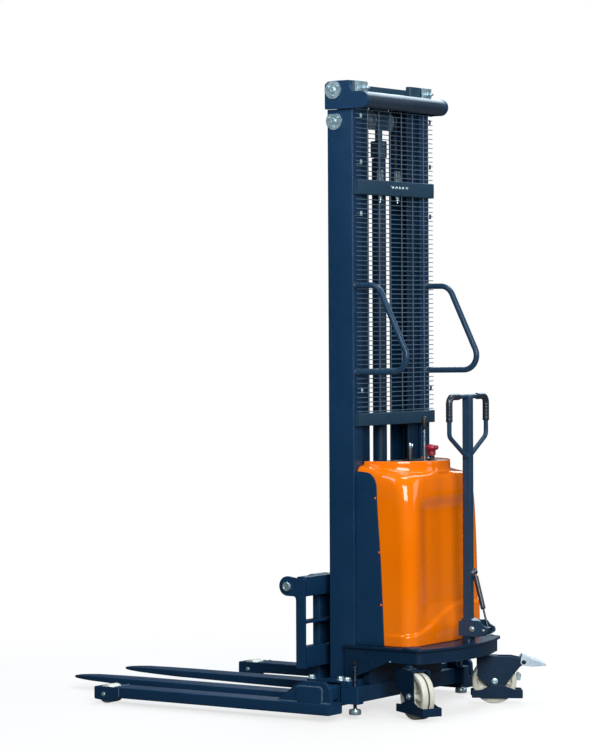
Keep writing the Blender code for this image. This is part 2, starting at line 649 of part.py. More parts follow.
def base_plate():
    """Floor of the power pack with its turned-down skirt, side gussets and caster bosses."""
    plate_top = plate("base_plate", base_outline(0.0, -0.040), "xy", BASE_TOP - BASE_THICK,
                      BASE_TOP)
    skirt = plate("skirt", base_outline(0.008, -0.036), "xy", SKIRT_LOW, BASE_TOP - 0.005,
                  tool=True)
    cut(skirt, plate("skirt_void", base_outline(0.014, -0.020), "xy", SKIRT_LOW - 0.01,
                     BASE_TOP - BASE_THICK, tool=True))
    join(plate_top, skirt)
    side_low, side_high = BASE_HALF - 0.0152, BASE_HALF - 0.0068
    for tag, side in SIDES:
        low, high = span(side, side_low, side_high)
        gusset = [(-0.034, 0.1365), (0.020, 0.142), (0.160, 0.204), (0.190, 0.204),
                  (0.190, 0.240), (-0.034, 0.240)]
        join(plate_top, plate("gusset_" + tag, gusset, "yz", low, high, tool=True))
        boss_low = 0.1845
        boss_x, boss_y = side * (STEM_X + 0.007), STEM_Y + 0.006
        join(plate_top, rod("caster_boss_" + tag, (boss_x, boss_y, boss_low),
                            (boss_x, boss_y, BASE_TOP - 0.002), 0.0245, tool=True, sides=24))
        cut(plate_top, rod("stem_bore_" + tag, (side * STEM_X, STEM_Y, boss_low - 0.02),
                           (side * STEM_X, STEM_Y, 0.240), 0.0125, tool=True, sides=20))
    # wall under the floor that stands on the cross housing's rear beam
    join(plate_top, box("under_wall", (-0.255, 0.029, 0.1103), (0.255, 0.056, 0.250), tool=True))
    # front edge clears the mast and the cross housing
    cut(plate_top, box("mast_notch", (-MAST_HALF - GAP, -0.06, 0.10),
                       (MAST_HALF + GAP, GAP, 0.30), tool=True))
    # post that carries the tiller
    join(plate_top, rod("neck_post", (0, TILLER_Y, BASE_TOP - 0.004),
                        (0, TILLER_Y, BASE_TOP + 0.020), 0.0245, tool=True, sides=24))
    finish(plate_top, "frame_paint")


def power_pack():
    """Battery and pump unit that stand under the cover."""
    battery = box("battery", (-0.165, 0.035, BASE_TOP + GAP), (0.165, 0.190, 0.470), bevel=0.006,
                  segments=1)
    for tag, side in SIDES:
        join(battery, rod("battery_post_" + tag, (side * 0.12, 0.11, 0.465),
                          (side * 0.12, 0.11, 0.483), 0.009, tool=True, sides=12))
    finish(battery, "battery_case")
    pump = box("pump_unit", (-0.150, 0.040, 0.500), (0.020, 0.180, 0.690), bevel=0.008,
               segments=1)
    join(pump,
         rod("motor", (0.012, 0.110, 0.600), (0.160, 0.110, 0.600), 0.052, tool=True, sides=24),
         rod("filler", (-0.090, 0.110, 0.685), (-0.090, 0.110, 0.715), 0.016, tool=True,
             sides=16),
         box("pump_foot", (-0.150, 0.090, 0.4865), (0.150, 0.130, 0.560), tool=True))
    finish(pump, "motor_grey")


def cover_outline(half, rear, front, corner, dish):
    """Plan section of the cover, open at the mast side, with a dished middle behind."""
    back = []
    count = 8
    for i in range(1, count):
        x = (half - corner) * (1 - 2 * i / count)
        back.append((x, rear - dish * 0.5 * (1 + math.cos(math.pi * x / (half - corner)))))
    right = arc(half - corner, rear - corner, corner, 0, 90, 5)
    left = [(-x, y) for x, y in reversed(right)]
    return [(half, front), *right, *back, *left, (-half, front)]


COVER_LEVELS = (
    # height, half width, rear, corner radius, dish of the rear face
    (COVER_LOW, 0.2620, 0.2440, 0.050, 0.010),
    (0.420, 0.2600, 0.2420, 0.050, 0.016),
    (0.620, 0.2575, 0.2400, 0.052, 0.018),
    (0.780, 0.2540, 0.2350, 0.056, 0.016),
    (0.838, 0.2510, 0.2350, 0.075, 0.008),
    (0.868, 0.2430, 0.2300, 0.090, 0.003),
    (0.886, 0.2290, 0.2250, 0.100, 0.000),
)
FRONT_RISE = 0.030               # the shoulder climbs by this much towards the mast


def loft(name, rings, tool=False):
    """Solid through rings of equal point counts, closed at both ends."""
    bm = bmesh.new()
    made = [[bm.verts.new(p) for p in ring] for ring in rings]
    count = len(rings[0])
    for lower, upper in zip(made, made[1:]):
        for i in range(count):
            k = (i + 1) % count
            bm.faces.new((lower[i], lower[k], upper[k], upper[i]))
    bm.faces.new(list(reversed(made[0])))
    bm.faces.new(made[-1])
    return mesh_object(name, bm, tool)


def cover_solid(name, inset, low, tool=False):
    """Body of the cover as a loft; inset shrinks it to make the inner void."""
    rings = []
    for index, (z, half, rear, corner, dish) in enumerate(COVER_LEVELS):
        height = low if index == 0 else z - inset
        front = 0.0012 if not inset else -0.010
        ring = cover_outline(half - inset, rear - inset, front, corner - inset * 0.5, dish)
        share = 0.0 if index < 3 else (index - 2) / (len(COVER_LEVELS) - 3)
        rings.append([(x, y, height + FRONT_RISE * share * max(0.0, 1.0 - y / 0.14))
                      for x, y in ring])
    return loft(name, rings, tool)


def collar_outline(inset, front):
    """Half-round plan of the raised collar round the dashboard."""
    count = 16
    across, deep = 0.200 - inset, 0.2205 - inset
    ring = [(across * math.cos(math.pi * i / count),
             0.004 + (deep - 0.004) * math.sin(math.pi * i / count) ** 0.9)
            for i in range(count + 1)]
    return [(across, front), *ring, (-across, front)]


def cover():
    """Moulded shell round the power pack, open at the mast side and below."""
    wall = COVER_WALL
    shell = cover_solid("cover", 0.0, COVER_LOW)
    join(shell, plate("collar", collar_outline(0.0, 0.0022), "xy", 0.800, COLLAR_TOP, tool=True))
    cut(shell, cover_solid("cover_void", wall, COVER_LOW - 0.02, tool=True))
    cut(shell, plate("collar_void", collar_outline(wall, -0.010), "xy", 0.780, COLLAR_TOP + 0.02,
                     tool=True))
    # recesses in the two sides that the side panels fill
    for tag, side in SIDES:
        low, high = span(side, 0.215, 0.30)
        cut(shell, plate("side_opening_" + tag, side_panel_outline(0.001), "yz", low, high,
                         tool=True))
    finish(shell, "cover_orange")
    dash = plate("dashboard", collar_outline(wall + GAP, 0.0026), "xy", COLLAR_TOP - 0.010,
                 COLLAR_TOP - 0.004)
    join(dash, rod("lever_boss", (LEVER_X, LEVER_Y, COLLAR_TOP - 0.008),
                   (LEVER_X, LEVER_Y, COLLAR_TOP + 0.002), 0.0130, tool=True))
    cut(dash, rod("lever_hole", (LEVER_X, LEVER_Y, COLLAR_TOP - 0.03),
                  (LEVER_X, LEVER_Y, COLLAR_TOP + 0.02), 0.0084, tool=True))
    finish(dash, "black_plastic")


def side_panel_outline(grow):
    """Side panel: straight at the mast, a round shoulder and a raked rear edge."""
    top, rear_low, rear_high = 0.892 + grow, 0.1270 + grow, 0.0930 + grow
    shoulder = arc(0.0400, top - 0.050, 0.050, 90, 8, 5)
    shoulder = [(y + grow, z) for y, z in shoulder]
    front, foot = 0.0016 - 4 * grow, COVER_LOW + 0.0004 - 4 * grow
    return [(front, foot), (front, top), *shoulder, (rear_high, 0.780), (rear_low, foot)]


def side_panels():
    for tag, side in SIDES:
        low, high = span(side, 0.2515, 0.2595)
        panel = plate("side_panel_" + tag, side_panel_outline(0.0), "yz", low, high)
        finish(panel, "frame_paint")


def controls():
    """Emergency stop and the lifting lever on the dashboard."""
    top = COLLAR_TOP - 0.004
    stop_x, stop_y = -0.045, 0.145
    base = turned("estop_base", [(0.0150, top + GAP), (0.0150, top + 0.004),
                                 (0.0105, top + 0.006), (0.0105, top + 0.018)],
                  (stop_x, stop_y, 0), (0, 0, 1), sides=20)
    finish(base, "black_plastic")
    head = turned("estop_knob",
                  [(0.0112, top + 0.0260), (0.0112, top + 0.0185), (0.0130, top + 0.0185),
                   (0.0145, top + 0.022), (0.0145, top + 0.038),
                   (0.0235, top + 0.041), (0.0255, top + 0.047), (0.0240, top + 0.057),
                   (0.0140, top + 0.060)],
                  (stop_x, stop_y, 0), (0, 0, 1), sides=24)
    finish(head, "red_plastic", body("estop", (stop_x, stop_y, top + 0.0185)))
    lever = turned("control_lever",
                   [(0.0040, top + 0.001), (0.0050, top + 0.006), (0.0050, 1.046),
                    (0.0085, 1.050), (0.0098, 1.062), (0.0098, 1.080), (0.0075, 1.090),
                    (0.0030, 1.093)],
                   (LEVER_X, LEVER_Y, 0), (0, 0, 1), sides=20)
    finish(lever, "chrome", body("control_lever", (LEVER_X, LEVER_Y, top + 0.004)))


# ------------------------------------------------------------------ casters
def caster(tag, side, heading, braked):
    """Swivel caster turned to heading (degrees from +Y towards +X), trailing behind its stem."""
    angle = math.radians(heading)
    along = Vector((math.sin(angle), math.cos(angle), 0))
    across = Vector((math.cos(angle), -math.sin(angle), 0))
    frame = Matrix((
        (along.x, across.x, 0, side * STEM_X),
        (along.y, across.y, 0, STEM_Y),
        (0, 0, 1, 0),
        (0, 0, 0, 1),
    ))
    frame = frame @ Matrix.Scale(-1, 4, (0, 1, 0))

    def placed(obj):
        """Move a shape from the caster's own axes (x trails, y across) to its place."""
        obj.data.transform(frame)
        if frame.determinant() < 0:
            obj.data.flip_normals()
        return obj

    stem = rod("caster_fork_" + tag, (0, 0, 0.170), (0, 0, 0.238), 0.012, sides=20)
    top = box("caster_top_" + tag, (-0.0455, -0.0355, 0.1735), (0.0660, 0.0355, 0.1805), tool=True)
    placed(stem)
    join(stem, placed(top),
         placed(rod("race_" + tag, (0, 0, 0.178), (0, 0, 0.1837), 0.024, tool=True)))
    if braked:
        cheek = [(-0.012, 0.1800), (0.118, 0.1785), (0.150, 0.172), (0.168, 0.166),
                 (0.171, 0.155), (0.162, 0.147), (0.148, 0.140), (0.085, 0.060),
                 (0.036, 0.060), (-0.012, 0.100)]
    else:
        cheek = [(-0.046, 0.1800), (0.084, 0.1800), (0.084, 0.056), (0.030, 0.056),
                 (0.014, 0.085), (-0.046, 0.115)]
    guard = [(-0.035, 0.024), (0.158, 0.020), (0.158, 0.052), (0.085, 0.070), (0.036, 0.070),
             (-0.035, 0.052)]
    for where, sign in (("a", 1), ("b", -1)):
        y0, y1 = sorted((sign * 0.0310, sign * 0.0360))
        join(stem, placed(plate("cheek_%s%s" % (tag, where), cheek, "xz", y0, y1, tool=True)))
        y0, y1 = sorted((sign * 0.0350, sign * 0.0400))
        join(stem, placed(plate("guard_%s%s" % (tag, where), guard, "xz", y0, y1, tool=True)))
    join(stem,
         placed(box("toe_" + tag, (0.1520, -0.0395, 0.0215), (0.1575, 0.0395, 0.0515),
                    tool=True)),
         placed(rod("axle_" + tag, (TRAIL, -0.046, WHEEL_R), (TRAIL, 0.046, WHEEL_R), 0.009,
                    tool=True, sides=16)))
    if braked:
        join(stem, placed(rod("pedal_pin_" + tag, (0.162, -0.0390, 0.158), (0.162, 0.0390, 0.158),
                              0.006, tool=True, sides=12)))
    swivel = body("caster_" + tag, (side * STEM_X, STEM_Y, 0.0))
    finish(stem, "dark_paint", swivel)

    section = mirrored_section([(0.0096, 0.0275), (0.0210, 0.0275), (0.0210, 0.0180),
                                (0.0620, 0.0180), (0.0660, WHEEL_W / 2), (0.0810, WHEEL_W / 2),
                                (WHEEL_R, 0.0190)])
    wheel = placed(ring("caster_wheel_" + tag, section, (TRAIL, 0, WHEEL_R), (0, 1, 0), sides=36))
    centre = frame @ Vector((TRAIL, 0, WHEEL_R))
    finish(wheel, "wheel_nylon", body("caster_wheel_" + tag, centre))

    if braked:
        # side lugs outside the cheeks, joined by a sloping tread plate
        outline = [*arc(0.162, 0.158, 0.0130, 135, 255, 6), (0.190, 0.1400), (0.246, 0.1435),
                   (0.246, 0.1490), (0.1600, 0.1834), (0.1545, 0.1812)]
        void = [(0.120, 0.120), (0.120, 0.200), (0.1590, 0.200), (0.1590, 0.1804),
                (0.236, 0.1496), (0.236, 0.120)]
        pedal = plate("brake_pedal", outline, "xz", -0.0395, 0.0395)
        cut(pedal,
            plate("pedal_void", void, "xz", -0.0363, 0.0363, tool=True),
            rod("pedal_bore", (0.162, -0.05, 0.158), (0.162, 0.05, 0.158), 0.0064, tool=True,
                sides=12))
        for piece in (pedal, bpy.data.objects["pedal_void"], bpy.data.objects["pedal_bore"]):
            placed(piece)
        finish(pedal, "zinc", body("brake_pedal", frame @ Vector((0.162, 0, 0.158))))


# ------------------------------------------------------------------ tiller
def tiller_parts():
    """Swivel bracket, tube with its loop handle and grips, and the gas spring."""
    yoke = rod("tiller_yoke", (0, TILLER_Y, BASE_TOP + 0.0203), (0, TILLER_Y, 0.290), 0.0235,
               sides=24)
    join(yoke, box("yoke_floor", (-0.0290, 0.3048, 0.2848), (0.0290, 0.3912, 0.2915), tool=True))
    cheek = [(0.304, 0.284), (0.380, 0.284), (0.412, 0.296), (0.426, 0.306), (0.424, 0.318),
             (0.404, 0.330), (0.392, 0.345), (0.304, 0.340)]
    for where, sign in (("a", 1), ("b", -1)):
        low, high = span(sign, 0.0250, 0.0305)
        join(yoke, plate("yoke_cheek_" + where, cheek, "yz", low, high, tool=True))
    join(yoke,
         rod("tilt_pin", (-0.036, PIVOT_Y, PIVOT_Z), (0.036, PIVOT_Y, PIVOT_Z), 0.0070,
             tool=True, sides=16))
    finish(yoke, "frame_paint", tiller_swivel)

    half_x, half_y = 0.013, 0.017
    top = TILLER_TOP
    shaft = box("tiller_tube", (-half_x, TILLER_Y - half_y, 0.345),
                (half_x, TILLER_Y + half_y, top), bevel=0.003, segments=1, edges="z")
    join(shaft, box("tiller_foot", (-0.0220, TILLER_Y - 0.018, 0.300), (0.0220, 0.374, 0.350),
                    tool=True))
    # loop: top bar, two sides and two struts back to the tube
    loop = [(0.0, TILLER_Y, top - 0.002), (0.131, TILLER_Y, top - 0.002),
            (0.131, TILLER_Y, 1.022), (0.010, TILLER_Y, 0.945)]
    ring = [Vector(p) for p in loop]
    mirrored = [Vector((-p.x, p.y, p.z)) for p in reversed(ring[1:])]
    path = rounded_path(mirrored + ring[1:], 0.026, 5)
    join(shaft, tube("tiller_loop", path, 0.0085, tool=True))
    # ears for the gas spring behind the tube
    for where, sign in (("a", 1), ("b", -1)):
        low, high = span(sign, 0.0075, 0.0115)
        join(shaft, box("gas_ear_" + where, (low, TILLER_Y + 0.010, 0.510),
                        (high, 0.364, 0.530), tool=True))
    join(shaft, rod("gas_top_pin", (-0.0115, 0.3560, 0.520), (0.0115, 0.3560, 0.520), 0.0040,
                    tool=True, sides=12))
    cut(shaft, rod("tilt_bore", (-0.05, PIVOT_Y, PIVOT_Z), (0.05, PIVOT_Y, PIVOT_Z), 0.0074,
                   tool=True, sides=16))
    finish(shaft, "frame_paint", tiller)
    for tag, side in SIDES:
        grip = tube("tiller_grip_" + tag,
                    rounded_path([(side * 0.064, TILLER_Y, top - 0.002),
                                  (side * 0.131, TILLER_Y, top - 0.002),
                                  (side * 0.131, TILLER_Y, 1.076)], 0.026, 5), 0.0125)
        cut(grip, tube("grip_core_" + tag,
                       rounded_path([(side * 0.050, TILLER_Y, top - 0.002),
                                     (side * 0.131, TILLER_Y, top - 0.002),
                                     (side * 0.131, TILLER_Y, 1.050)], 0.026, 5), 0.0090,
                       tool=True))
        finish(grip, "black_plastic", tiller)


GAS_TOP = Vector((0, 0.3560, 0.520))
GAS_LOW = Vector((0, 0.4125, 0.312))


def gas_spring():
    """Cylinder hung from the tiller and rod that reaches the yoke."""
    down = (GAS_LOW - GAS_TOP).normalized()
    cylinder = rod("gas_cylinder", GAS_TOP + down * 0.018, GAS_TOP + down * 0.140, 0.0085,
                   sides=16)
    join(cylinder,
         rod("gas_neck", GAS_TOP + down * 0.002, GAS_TOP + down * 0.022, 0.0045, tool=True,
             sides=12),
         rod("gas_eye", GAS_TOP - Vector((0.0065, 0, 0)), GAS_TOP + Vector((0.0065, 0, 0)),
             0.0085, tool=True, sides=16))
    cut(cylinder,
        rod("gas_eye_bore", GAS_TOP - Vector((0.02, 0, 0)), GAS_TOP + Vector((0.02, 0, 0)),
            0.0044, tool=True, sides=12),
        rod("gas_bore", GAS_TOP + down * 0.040, GAS_TOP + down * 0.150, 0.0043, tool=True,
            sides=12))
    finish(cylinder, "black_plastic", body("gas_cylinder", GAS_TOP))
    piston = rod("gas_rod", GAS_TOP + down * 0.118, GAS_LOW - down * 0.004, 0.0039, sides=12)
    join(piston,
         rod("rod_eye", GAS_LOW - Vector((0.0100, 0, 0)), GAS_LOW + Vector((0.0100, 0, 0)),
             0.0080, tool=True, sides=16),
         rod("rod_pin", GAS_LOW - Vector((0.0235, 0, 0)), GAS_LOW + Vector((0.0235, 0, 0)),
             0.0050, tool=True, sides=12))
    finish(piston, "chrome", body("gas_rod", GAS_LOW))


# ------------------------------------------------------------------ assembly
outer_mast()
cross_brackets()
mesh_guard()
grab_handles()
inner_mast_parts()
lift_cylinder()
chains()
carriage_parts()
forks()
legs()
leg_sleeve()
base_plate()
power_pack()
cover()
side_panels()
controls()
caster("L", 1, 27.7, braked=False)
caster("R", -1, -34.3, braked=True)
tiller_parts()
gas_spring()

# move everything so that the origin lies under the middle of the bounding box
for collection in (PARTS, TOOLS):
    for obj in collection.objects:
        if obj.parent is None:
            obj.location.y += Y_SHIFT
bpy.context.view_layer.update()
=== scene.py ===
"""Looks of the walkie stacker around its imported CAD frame.

Shapes are written in the truck's own coordinates: X is the width (+X is the truck's left), the
mast's rear face is Y = 0, the forks point to -Y and the floor is Z = 0.  SHIFT_Y takes them to
the frame, whose origin lies under the middle of the bounding box.  Places are in metres; turned
profiles and the sizes of fasteners are in millimetres.
"""
import math

import bmesh
import bpy
from mathutils import Matrix, Vector


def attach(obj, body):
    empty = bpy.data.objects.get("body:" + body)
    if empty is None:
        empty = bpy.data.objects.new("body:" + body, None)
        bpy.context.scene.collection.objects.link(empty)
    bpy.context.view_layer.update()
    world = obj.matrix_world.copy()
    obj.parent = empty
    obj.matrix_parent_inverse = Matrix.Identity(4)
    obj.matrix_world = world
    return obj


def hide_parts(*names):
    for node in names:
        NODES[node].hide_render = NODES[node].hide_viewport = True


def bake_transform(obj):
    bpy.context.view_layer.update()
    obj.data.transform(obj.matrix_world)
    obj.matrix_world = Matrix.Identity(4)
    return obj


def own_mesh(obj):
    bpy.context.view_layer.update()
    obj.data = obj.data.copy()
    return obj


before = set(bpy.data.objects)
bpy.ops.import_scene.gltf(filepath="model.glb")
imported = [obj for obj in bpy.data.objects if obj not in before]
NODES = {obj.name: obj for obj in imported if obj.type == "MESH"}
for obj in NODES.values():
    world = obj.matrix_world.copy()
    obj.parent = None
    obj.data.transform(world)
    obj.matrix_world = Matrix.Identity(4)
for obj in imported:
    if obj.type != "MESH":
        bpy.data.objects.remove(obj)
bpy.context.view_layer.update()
SHIFT_Y = 0.470
SIDES = (("L", 1, "left"), ("R", -1, "right"))
UP, REAR, LEFT = (0, 0, 1), (0, 1, 0), (1, 0, 0)
MM = 0.001
NECK_Y = 0.329
RAM_Y = -0.056
PULLEY_X, PULLEY_Z = 0.060, 2.200
FORK_SHAFT = (-0.2265, 0.468)
LOAD_AXLE = (-0.974, 0.035)
TRAIL, WHEEL_Z = 0.052, 0.085
LEVER = (0.040, 0.165)
DASH_TOP = 0.9258


# ------------------------------------------------------------------ camera
def add_camera():
    """Camera of the view from the operator's side, left of the truck."""
    azimuth = math.radians(124.329)
    pitch = math.radians(-1.066)
    roll = math.radians(-0.297)
    forward = Vector((-math.sin(azimuth) * math.cos(pitch), math.cos(azimuth) * math.cos(pitch),
                      math.sin(pitch)))
    right = forward.cross(Vector((0, 0, 1))).normalized()
    up = right.cross(forward)
    right_rolled = right * math.cos(roll) + up * math.sin(roll)
    up_rolled = up * math.cos(roll) - right * math.sin(roll)
    camera = bpy.data.cameras.new("camera")
    camera.sensor_fit = "AUTO"
    camera.sensor_width = 36.0
    camera.lens = 140.06
    camera.clip_start = 0.5
    camera.clip_end = 60.0
    obj = bpy.data.objects.new("camera", camera)
    place = Matrix.Identity(4)
    for row in range(3):
        place[row][0] = right_rolled[row]
        place[row][1] = up_rolled[row]
        place[row][2] = -forward[row]
    place.translation = Vector((9.2713, 5.8937 + SHIFT_Y, 1.4472))
    obj.matrix_world = place
    bpy.context.scene.collection.objects.link(obj)
    bpy.context.scene.camera = obj


# ------------------------------------------------------------------ materials
class Nodes:
    """A new material, with short hand for building its node tree."""

    def __init__(self, name):
        self.material = bpy.data.materials.new(name)
        self.material.use_nodes = True
        self.tree = self.material.node_tree
        self.shader = self.tree.nodes["Principled BSDF"]
        self.place = self.add("TexCoord").outputs["Object"]

    def plug(self, value, socket):
        """Link an output to a socket, or set the socket to a plain value."""
        if hasattr(value, "is_output"):
            self.tree.links.new(value, socket)
        else:
            socket.default_value = (*value, 1.0) if socket.type == "RGBA" else value

    def fill(self, node, values):
        """Plug values into a node's inputs; "_" stands for a space in their names."""
        for name, value in values.items():
            self.plug(value, node.inputs[name.replace("_", " ")])
        return node

    def add(self, kind, **values):
        return self.fill(self.tree.nodes.new("ShaderNode" + kind), values)

    def noise(self, scale, detail=3.0, roughness=0.55):
        return self.add("TexNoise", Scale=scale, Detail=detail, Roughness=roughness,
                        Vector=self.place).outputs["Fac"]

    def cells(self, scale):
        return self.add("TexVoronoi", Scale=scale, Vector=self.place).outputs["Distance"]

    def ramp(self, source, low, first, high, second):
        """Colour ramp from the first colour at low to the second one at high."""
        node = self.add("ValToRGB", Fac=source)
        for element, position, colour in zip(node.color_ramp.elements, (low, high),
                                             (first, second)):
            element.position = position
            element.color = (*colour, 1.0)
        return node.outputs["Color"]

    def span(self, source, low, high, from_low=0.3, from_high=0.7):
        return self.add("MapRange", Value=source, From_Min=from_low, From_Max=from_high,
                        To_Min=low, To_Max=high).outputs["Result"]

    def mix(self, share, first, second):
        node = self.add("Mix")
        node.data_type = "RGBA"
        for socket, value in zip([s for s in node.inputs if s.enabled], (share, first, second)):
            self.plug(value, socket)
        return [s for s in node.outputs if s.enabled][0]

    def bump(self, height, distance, strength, **after):
        return self.add("Bump", Strength=strength, Distance=distance, Height=height,
                        **after).outputs["Normal"]

    def soft_edges(self, radius):
        """Shading normal that rounds edges off by a radius."""
        node = self.add("Bevel", Radius=radius)
        node.samples = 4
        return node.outputs["Normal"]

    def set(self, **values):
        self.fill(self.shader, values)
        return self.material


BLACKEST, WHITEST = (0, 0, 0), (1, 1, 1)


def powder_coat(name, base, light, roughness=0.40, rounded=0.0012):
    """Sprayed powder coat: orange-peel skin, faint cloudiness and a little dust and scuffing."""
    n = Nodes(name)
    dust = n.ramp(n.noise(38.0, 8.0, 0.7), 0.58, BLACKEST, 0.80, WHITEST)
    return n.set(
        Base_Color=n.mix(n.span(dust, 0.0, 0.10, 0.0, 1.0),
                         n.ramp(n.noise(3.5, 4.0), 0.30, base, 0.72, light), (0.16, 0.18, 0.20)),
        Roughness=n.span(n.noise(14.0, 5.0), roughness - 0.06, roughness + 0.08),
        Normal=n.bump(n.noise(900.0, 2.0), 0.0002, 0.25, Normal=n.soft_edges(rounded)),
        Specular_IOR_Level=0.22, Coat_Weight=0.08, Coat_Roughness=0.22)


def gloss_cover():
    """Glossy painted moulding with a clear coat and a faint waviness."""
    n = Nodes("cover_orange_gloss")
    wave = n.bump(n.noise(7.0, 2.0), 0.004, 0.10)
    return n.set(
        Base_Color=n.ramp(n.noise(2.4), 0.25, (0.90, 0.172, 0.0), 0.75, (0.97, 0.208, 0.0)),
        Roughness=n.span(n.noise(30.0, 6.0), 0.20, 0.30),
        Normal=n.bump(n.noise(650.0, 2.0), 0.0001, 0.10, Normal=wave),
        Coat_Weight=1.0, Coat_Roughness=0.045, Specular_IOR_Level=0.05)


def metal(name, base, light, roughness, grain=220.0, bump=0.00010, metallic=1.0):
    """Plated or brushed metal with fine grain and patchy tarnish."""
    n = Nodes(name)
    return n.set(
        Base_Color=n.ramp(n.noise(26.0, 5.0, 0.6), 0.30, base, 0.70, light),
        Roughness=n.span(n.noise(60.0, 5.0), roughness - 0.06, roughness + 0.10),
        Normal=n.bump(n.noise(grain), bump, 0.5, Normal=n.soft_edges(0.0008)),
        Metallic=metallic)


def plastic(name, base, light, roughness, grain=420.0, bump=0.00025, coat=0.0):
    """Moulded plastic or rubber with a fine spark-eroded texture."""
    n = Nodes(name)
    return n.set(
        Base_Color=n.ramp(n.noise(12.0, 4.0), 0.30, base, 0.70, light),
        Roughness=n.span(n.noise(45.0, 4.0), roughness - 0.05, roughness + 0.07),
        Normal=n.bump(n.cells(grain), bump, 0.35, Normal=n.soft_edges(0.0008)),
        Coat_Weight=coat, Coat_Roughness=0.10)


def nylon(name, base, light):
    """Cast nylon: slightly translucent ivory with grime in its grain."""
    n = Nodes(name)
    grime = n.noise(55.0, 7.0, 0.7)
    share = n.span(n.ramp(grime, 0.52, BLACKEST, 0.78, WHITEST), 0.0, 0.45, 0.0, 1.0)
    return n.set(
        Base_Color=n.mix(share, n.ramp(n.noise(9.0), 0.30, base, 0.70, light),
                         (0.22, 0.19, 0.13)),
        Roughness=n.span(grime, 0.34, 0.55),
        Normal=n.bump(n.noise(300.0), 0.0003, 0.35, Normal=n.soft_edges(0.0012)),
        Subsurface_Weight=0.08, Subsurface_Radius=(0.006, 0.004, 0.002))


NAVY = powder_coat("navy_powder_coat", (0.0045, 0.032, 0.082), (0.0075, 0.040, 0.100), 0.38)
SLATE = powder_coat("slate_powder_coat", (0.012, 0.040, 0.074), (0.017, 0.050, 0.090), 0.44)
# Darker copy of the navy powder coat: painted shade on the parts that sit low under the base or
# set back inside the mast.
SHADED_NAVY = powder_coat("shaded_navy_powder_coat", (0.0015, 0.017, 0.046), (0.003, 0.023, 0.058), 0.42)
TUBE = powder_coat("gloss_navy_tube", (0.016, 0.046, 0.090), (0.022, 0.058, 0.112), 0.26)
WIRE = powder_coat("pale_wire_coat", (0.060, 0.100, 0.150), (0.090, 0.140, 0.200), 0.35, 0.0004)
ORANGE = gloss_cover()
ZINC = metal("bright_zinc", (0.40, 0.58, 0.66), (0.66, 0.84, 0.90), 0.30, metallic=0.8)
CHROME = metal("polished_chrome", (0.84, 0.87, 0.89), (0.95, 0.96, 0.97), 0.26, 400.0, 0.00003)
DARK_ROD = metal("blackened_rod", (0.05, 0.07, 0.10), (0.10, 0.13, 0.17), 0.22)
CHAIN = metal("oiled_chain", (0.030, 0.036, 0.044), (0.12, 0.13, 0.15), 0.36, 500.0)
SHEAVE = metal("turned_sheave", (0.16, 0.24, 0.32), (0.34, 0.44, 0.54), 0.36, metallic=0.6)
MOTOR = powder_coat("machine_grey", (0.10, 0.11, 0.12), (0.14, 0.15, 0.16), 0.42)
BLACK = plastic("black_plastic", (0.010, 0.011, 0.014), (0.018, 0.019, 0.023), 0.42)
RUBBER = plastic("black_grip", (0.006, 0.014, 0.026), (0.010, 0.022, 0.038), 0.34, 260.0,
                 0.0004, 0.45)
RED = plastic("red_button", (0.33, 0.010, 0.030), (0.42, 0.018, 0.045), 0.30, 500.0, 0.0001, 0.5)
IVORY = nylon("ivory_nylon", (0.64, 0.64, 0.54), (0.76, 0.77, 0.68))
TREAD = nylon("dirty_tread", (0.055, 0.048, 0.050), (0.12, 0.105, 0.10))
CASE = plastic("battery_case", (0.020, 0.020, 0.024), (0.035, 0.035, 0.040), 0.50)
GLOSS = powder_coat("gloss_slate_tube", (0.020, 0.034, 0.056), (0.028, 0.044, 0.070), 0.26)
WELD = powder_coat("painted_weld", (0.05, 0.10, 0.16), (0.10, 0.17, 0.24), 0.30, 0.0003)
PEDAL = metal("blue_zinc", (0.55, 0.69, 0.82), (0.74, 0.86, 0.95), 0.35, metallic=0.4)
DIAL = plastic("dial_face", (0.55, 0.56, 0.56), (0.66, 0.67, 0.67), 0.30, 600.0, 0.0001, 0.6)


# ------------------------------------------------------------------ mesh helpers
def put(name, bm, material, body, replaces=()):
    """Make a smooth object of a filled bmesh, at its place in the frame and on its body."""
    bmesh.ops.recalc_face_normals(bm, faces=bm.faces)
    mesh = bpy.data.meshes.new(name)
    bm.to_mesh(mesh)
    bm.free()
    mesh.transform(Matrix.Translation((0, SHIFT_Y, 0)))
    mesh.shade_smooth()
    for entry in material if isinstance(material, list) else [material]:
        mesh.materials.append(entry)
    obj = bpy.data.objects.new(name, mesh)
    bpy.context.scene.collection.objects.link(obj)
    if body:
        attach(obj, body)
    if replaces:
        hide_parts(*replaces)
    return obj


def add_modifier(obj, kind, **settings):
    """Add a modifier with its settings."""
    modifier = obj.modifiers.new(kind.lower(), kind)
    for name, value in settings.items():
        setattr(modifier, name, value)


def new_piece(name, body, material, build, replaces=(), bevel=0.0, segments=2, angle=38):
    """One piece: build(bm) fills it; angle is the least one that stays a sharp edge."""
    bm = bmesh.new()
    build(bm)
    obj = put(name, bm, material, body, replaces)
    sharp = math.radians(angle)
    obj.data.set_sharp_from_angle(angle=sharp)
    if bevel:
        add_modifier(obj, "BEVEL", width=bevel, segments=segments, limit_method="ANGLE",
                     angle_limit=sharp, harden_normals=True, loop_slide=False)
    return obj


def add_box(bm, first, second):
    """Box between two opposite corners."""
    low = Vector(map(min, first, second))
    high = Vector(map(max, first, second))
    made = bmesh.ops.create_cube(bm, size=1.0)["verts"]
    bmesh.ops.scale(bm, vec=high - low, verts=made)
    bmesh.ops.translate(bm, vec=(low + high) / 2, verts=made)
    return made


def set_index(verts, index):
    """Give a material slot to the faces between some vertices."""
    chosen = set(verts)
    for face in {f for v in verts for f in v.link_faces}:
        if all(v in chosen for v in face.verts):
            face.material_index = index


def turn_to(direction):
    """Rotation that takes +Z to a direction."""
    return Vector(direction).to_track_quat("Z", "Y").to_matrix().to_4x4()


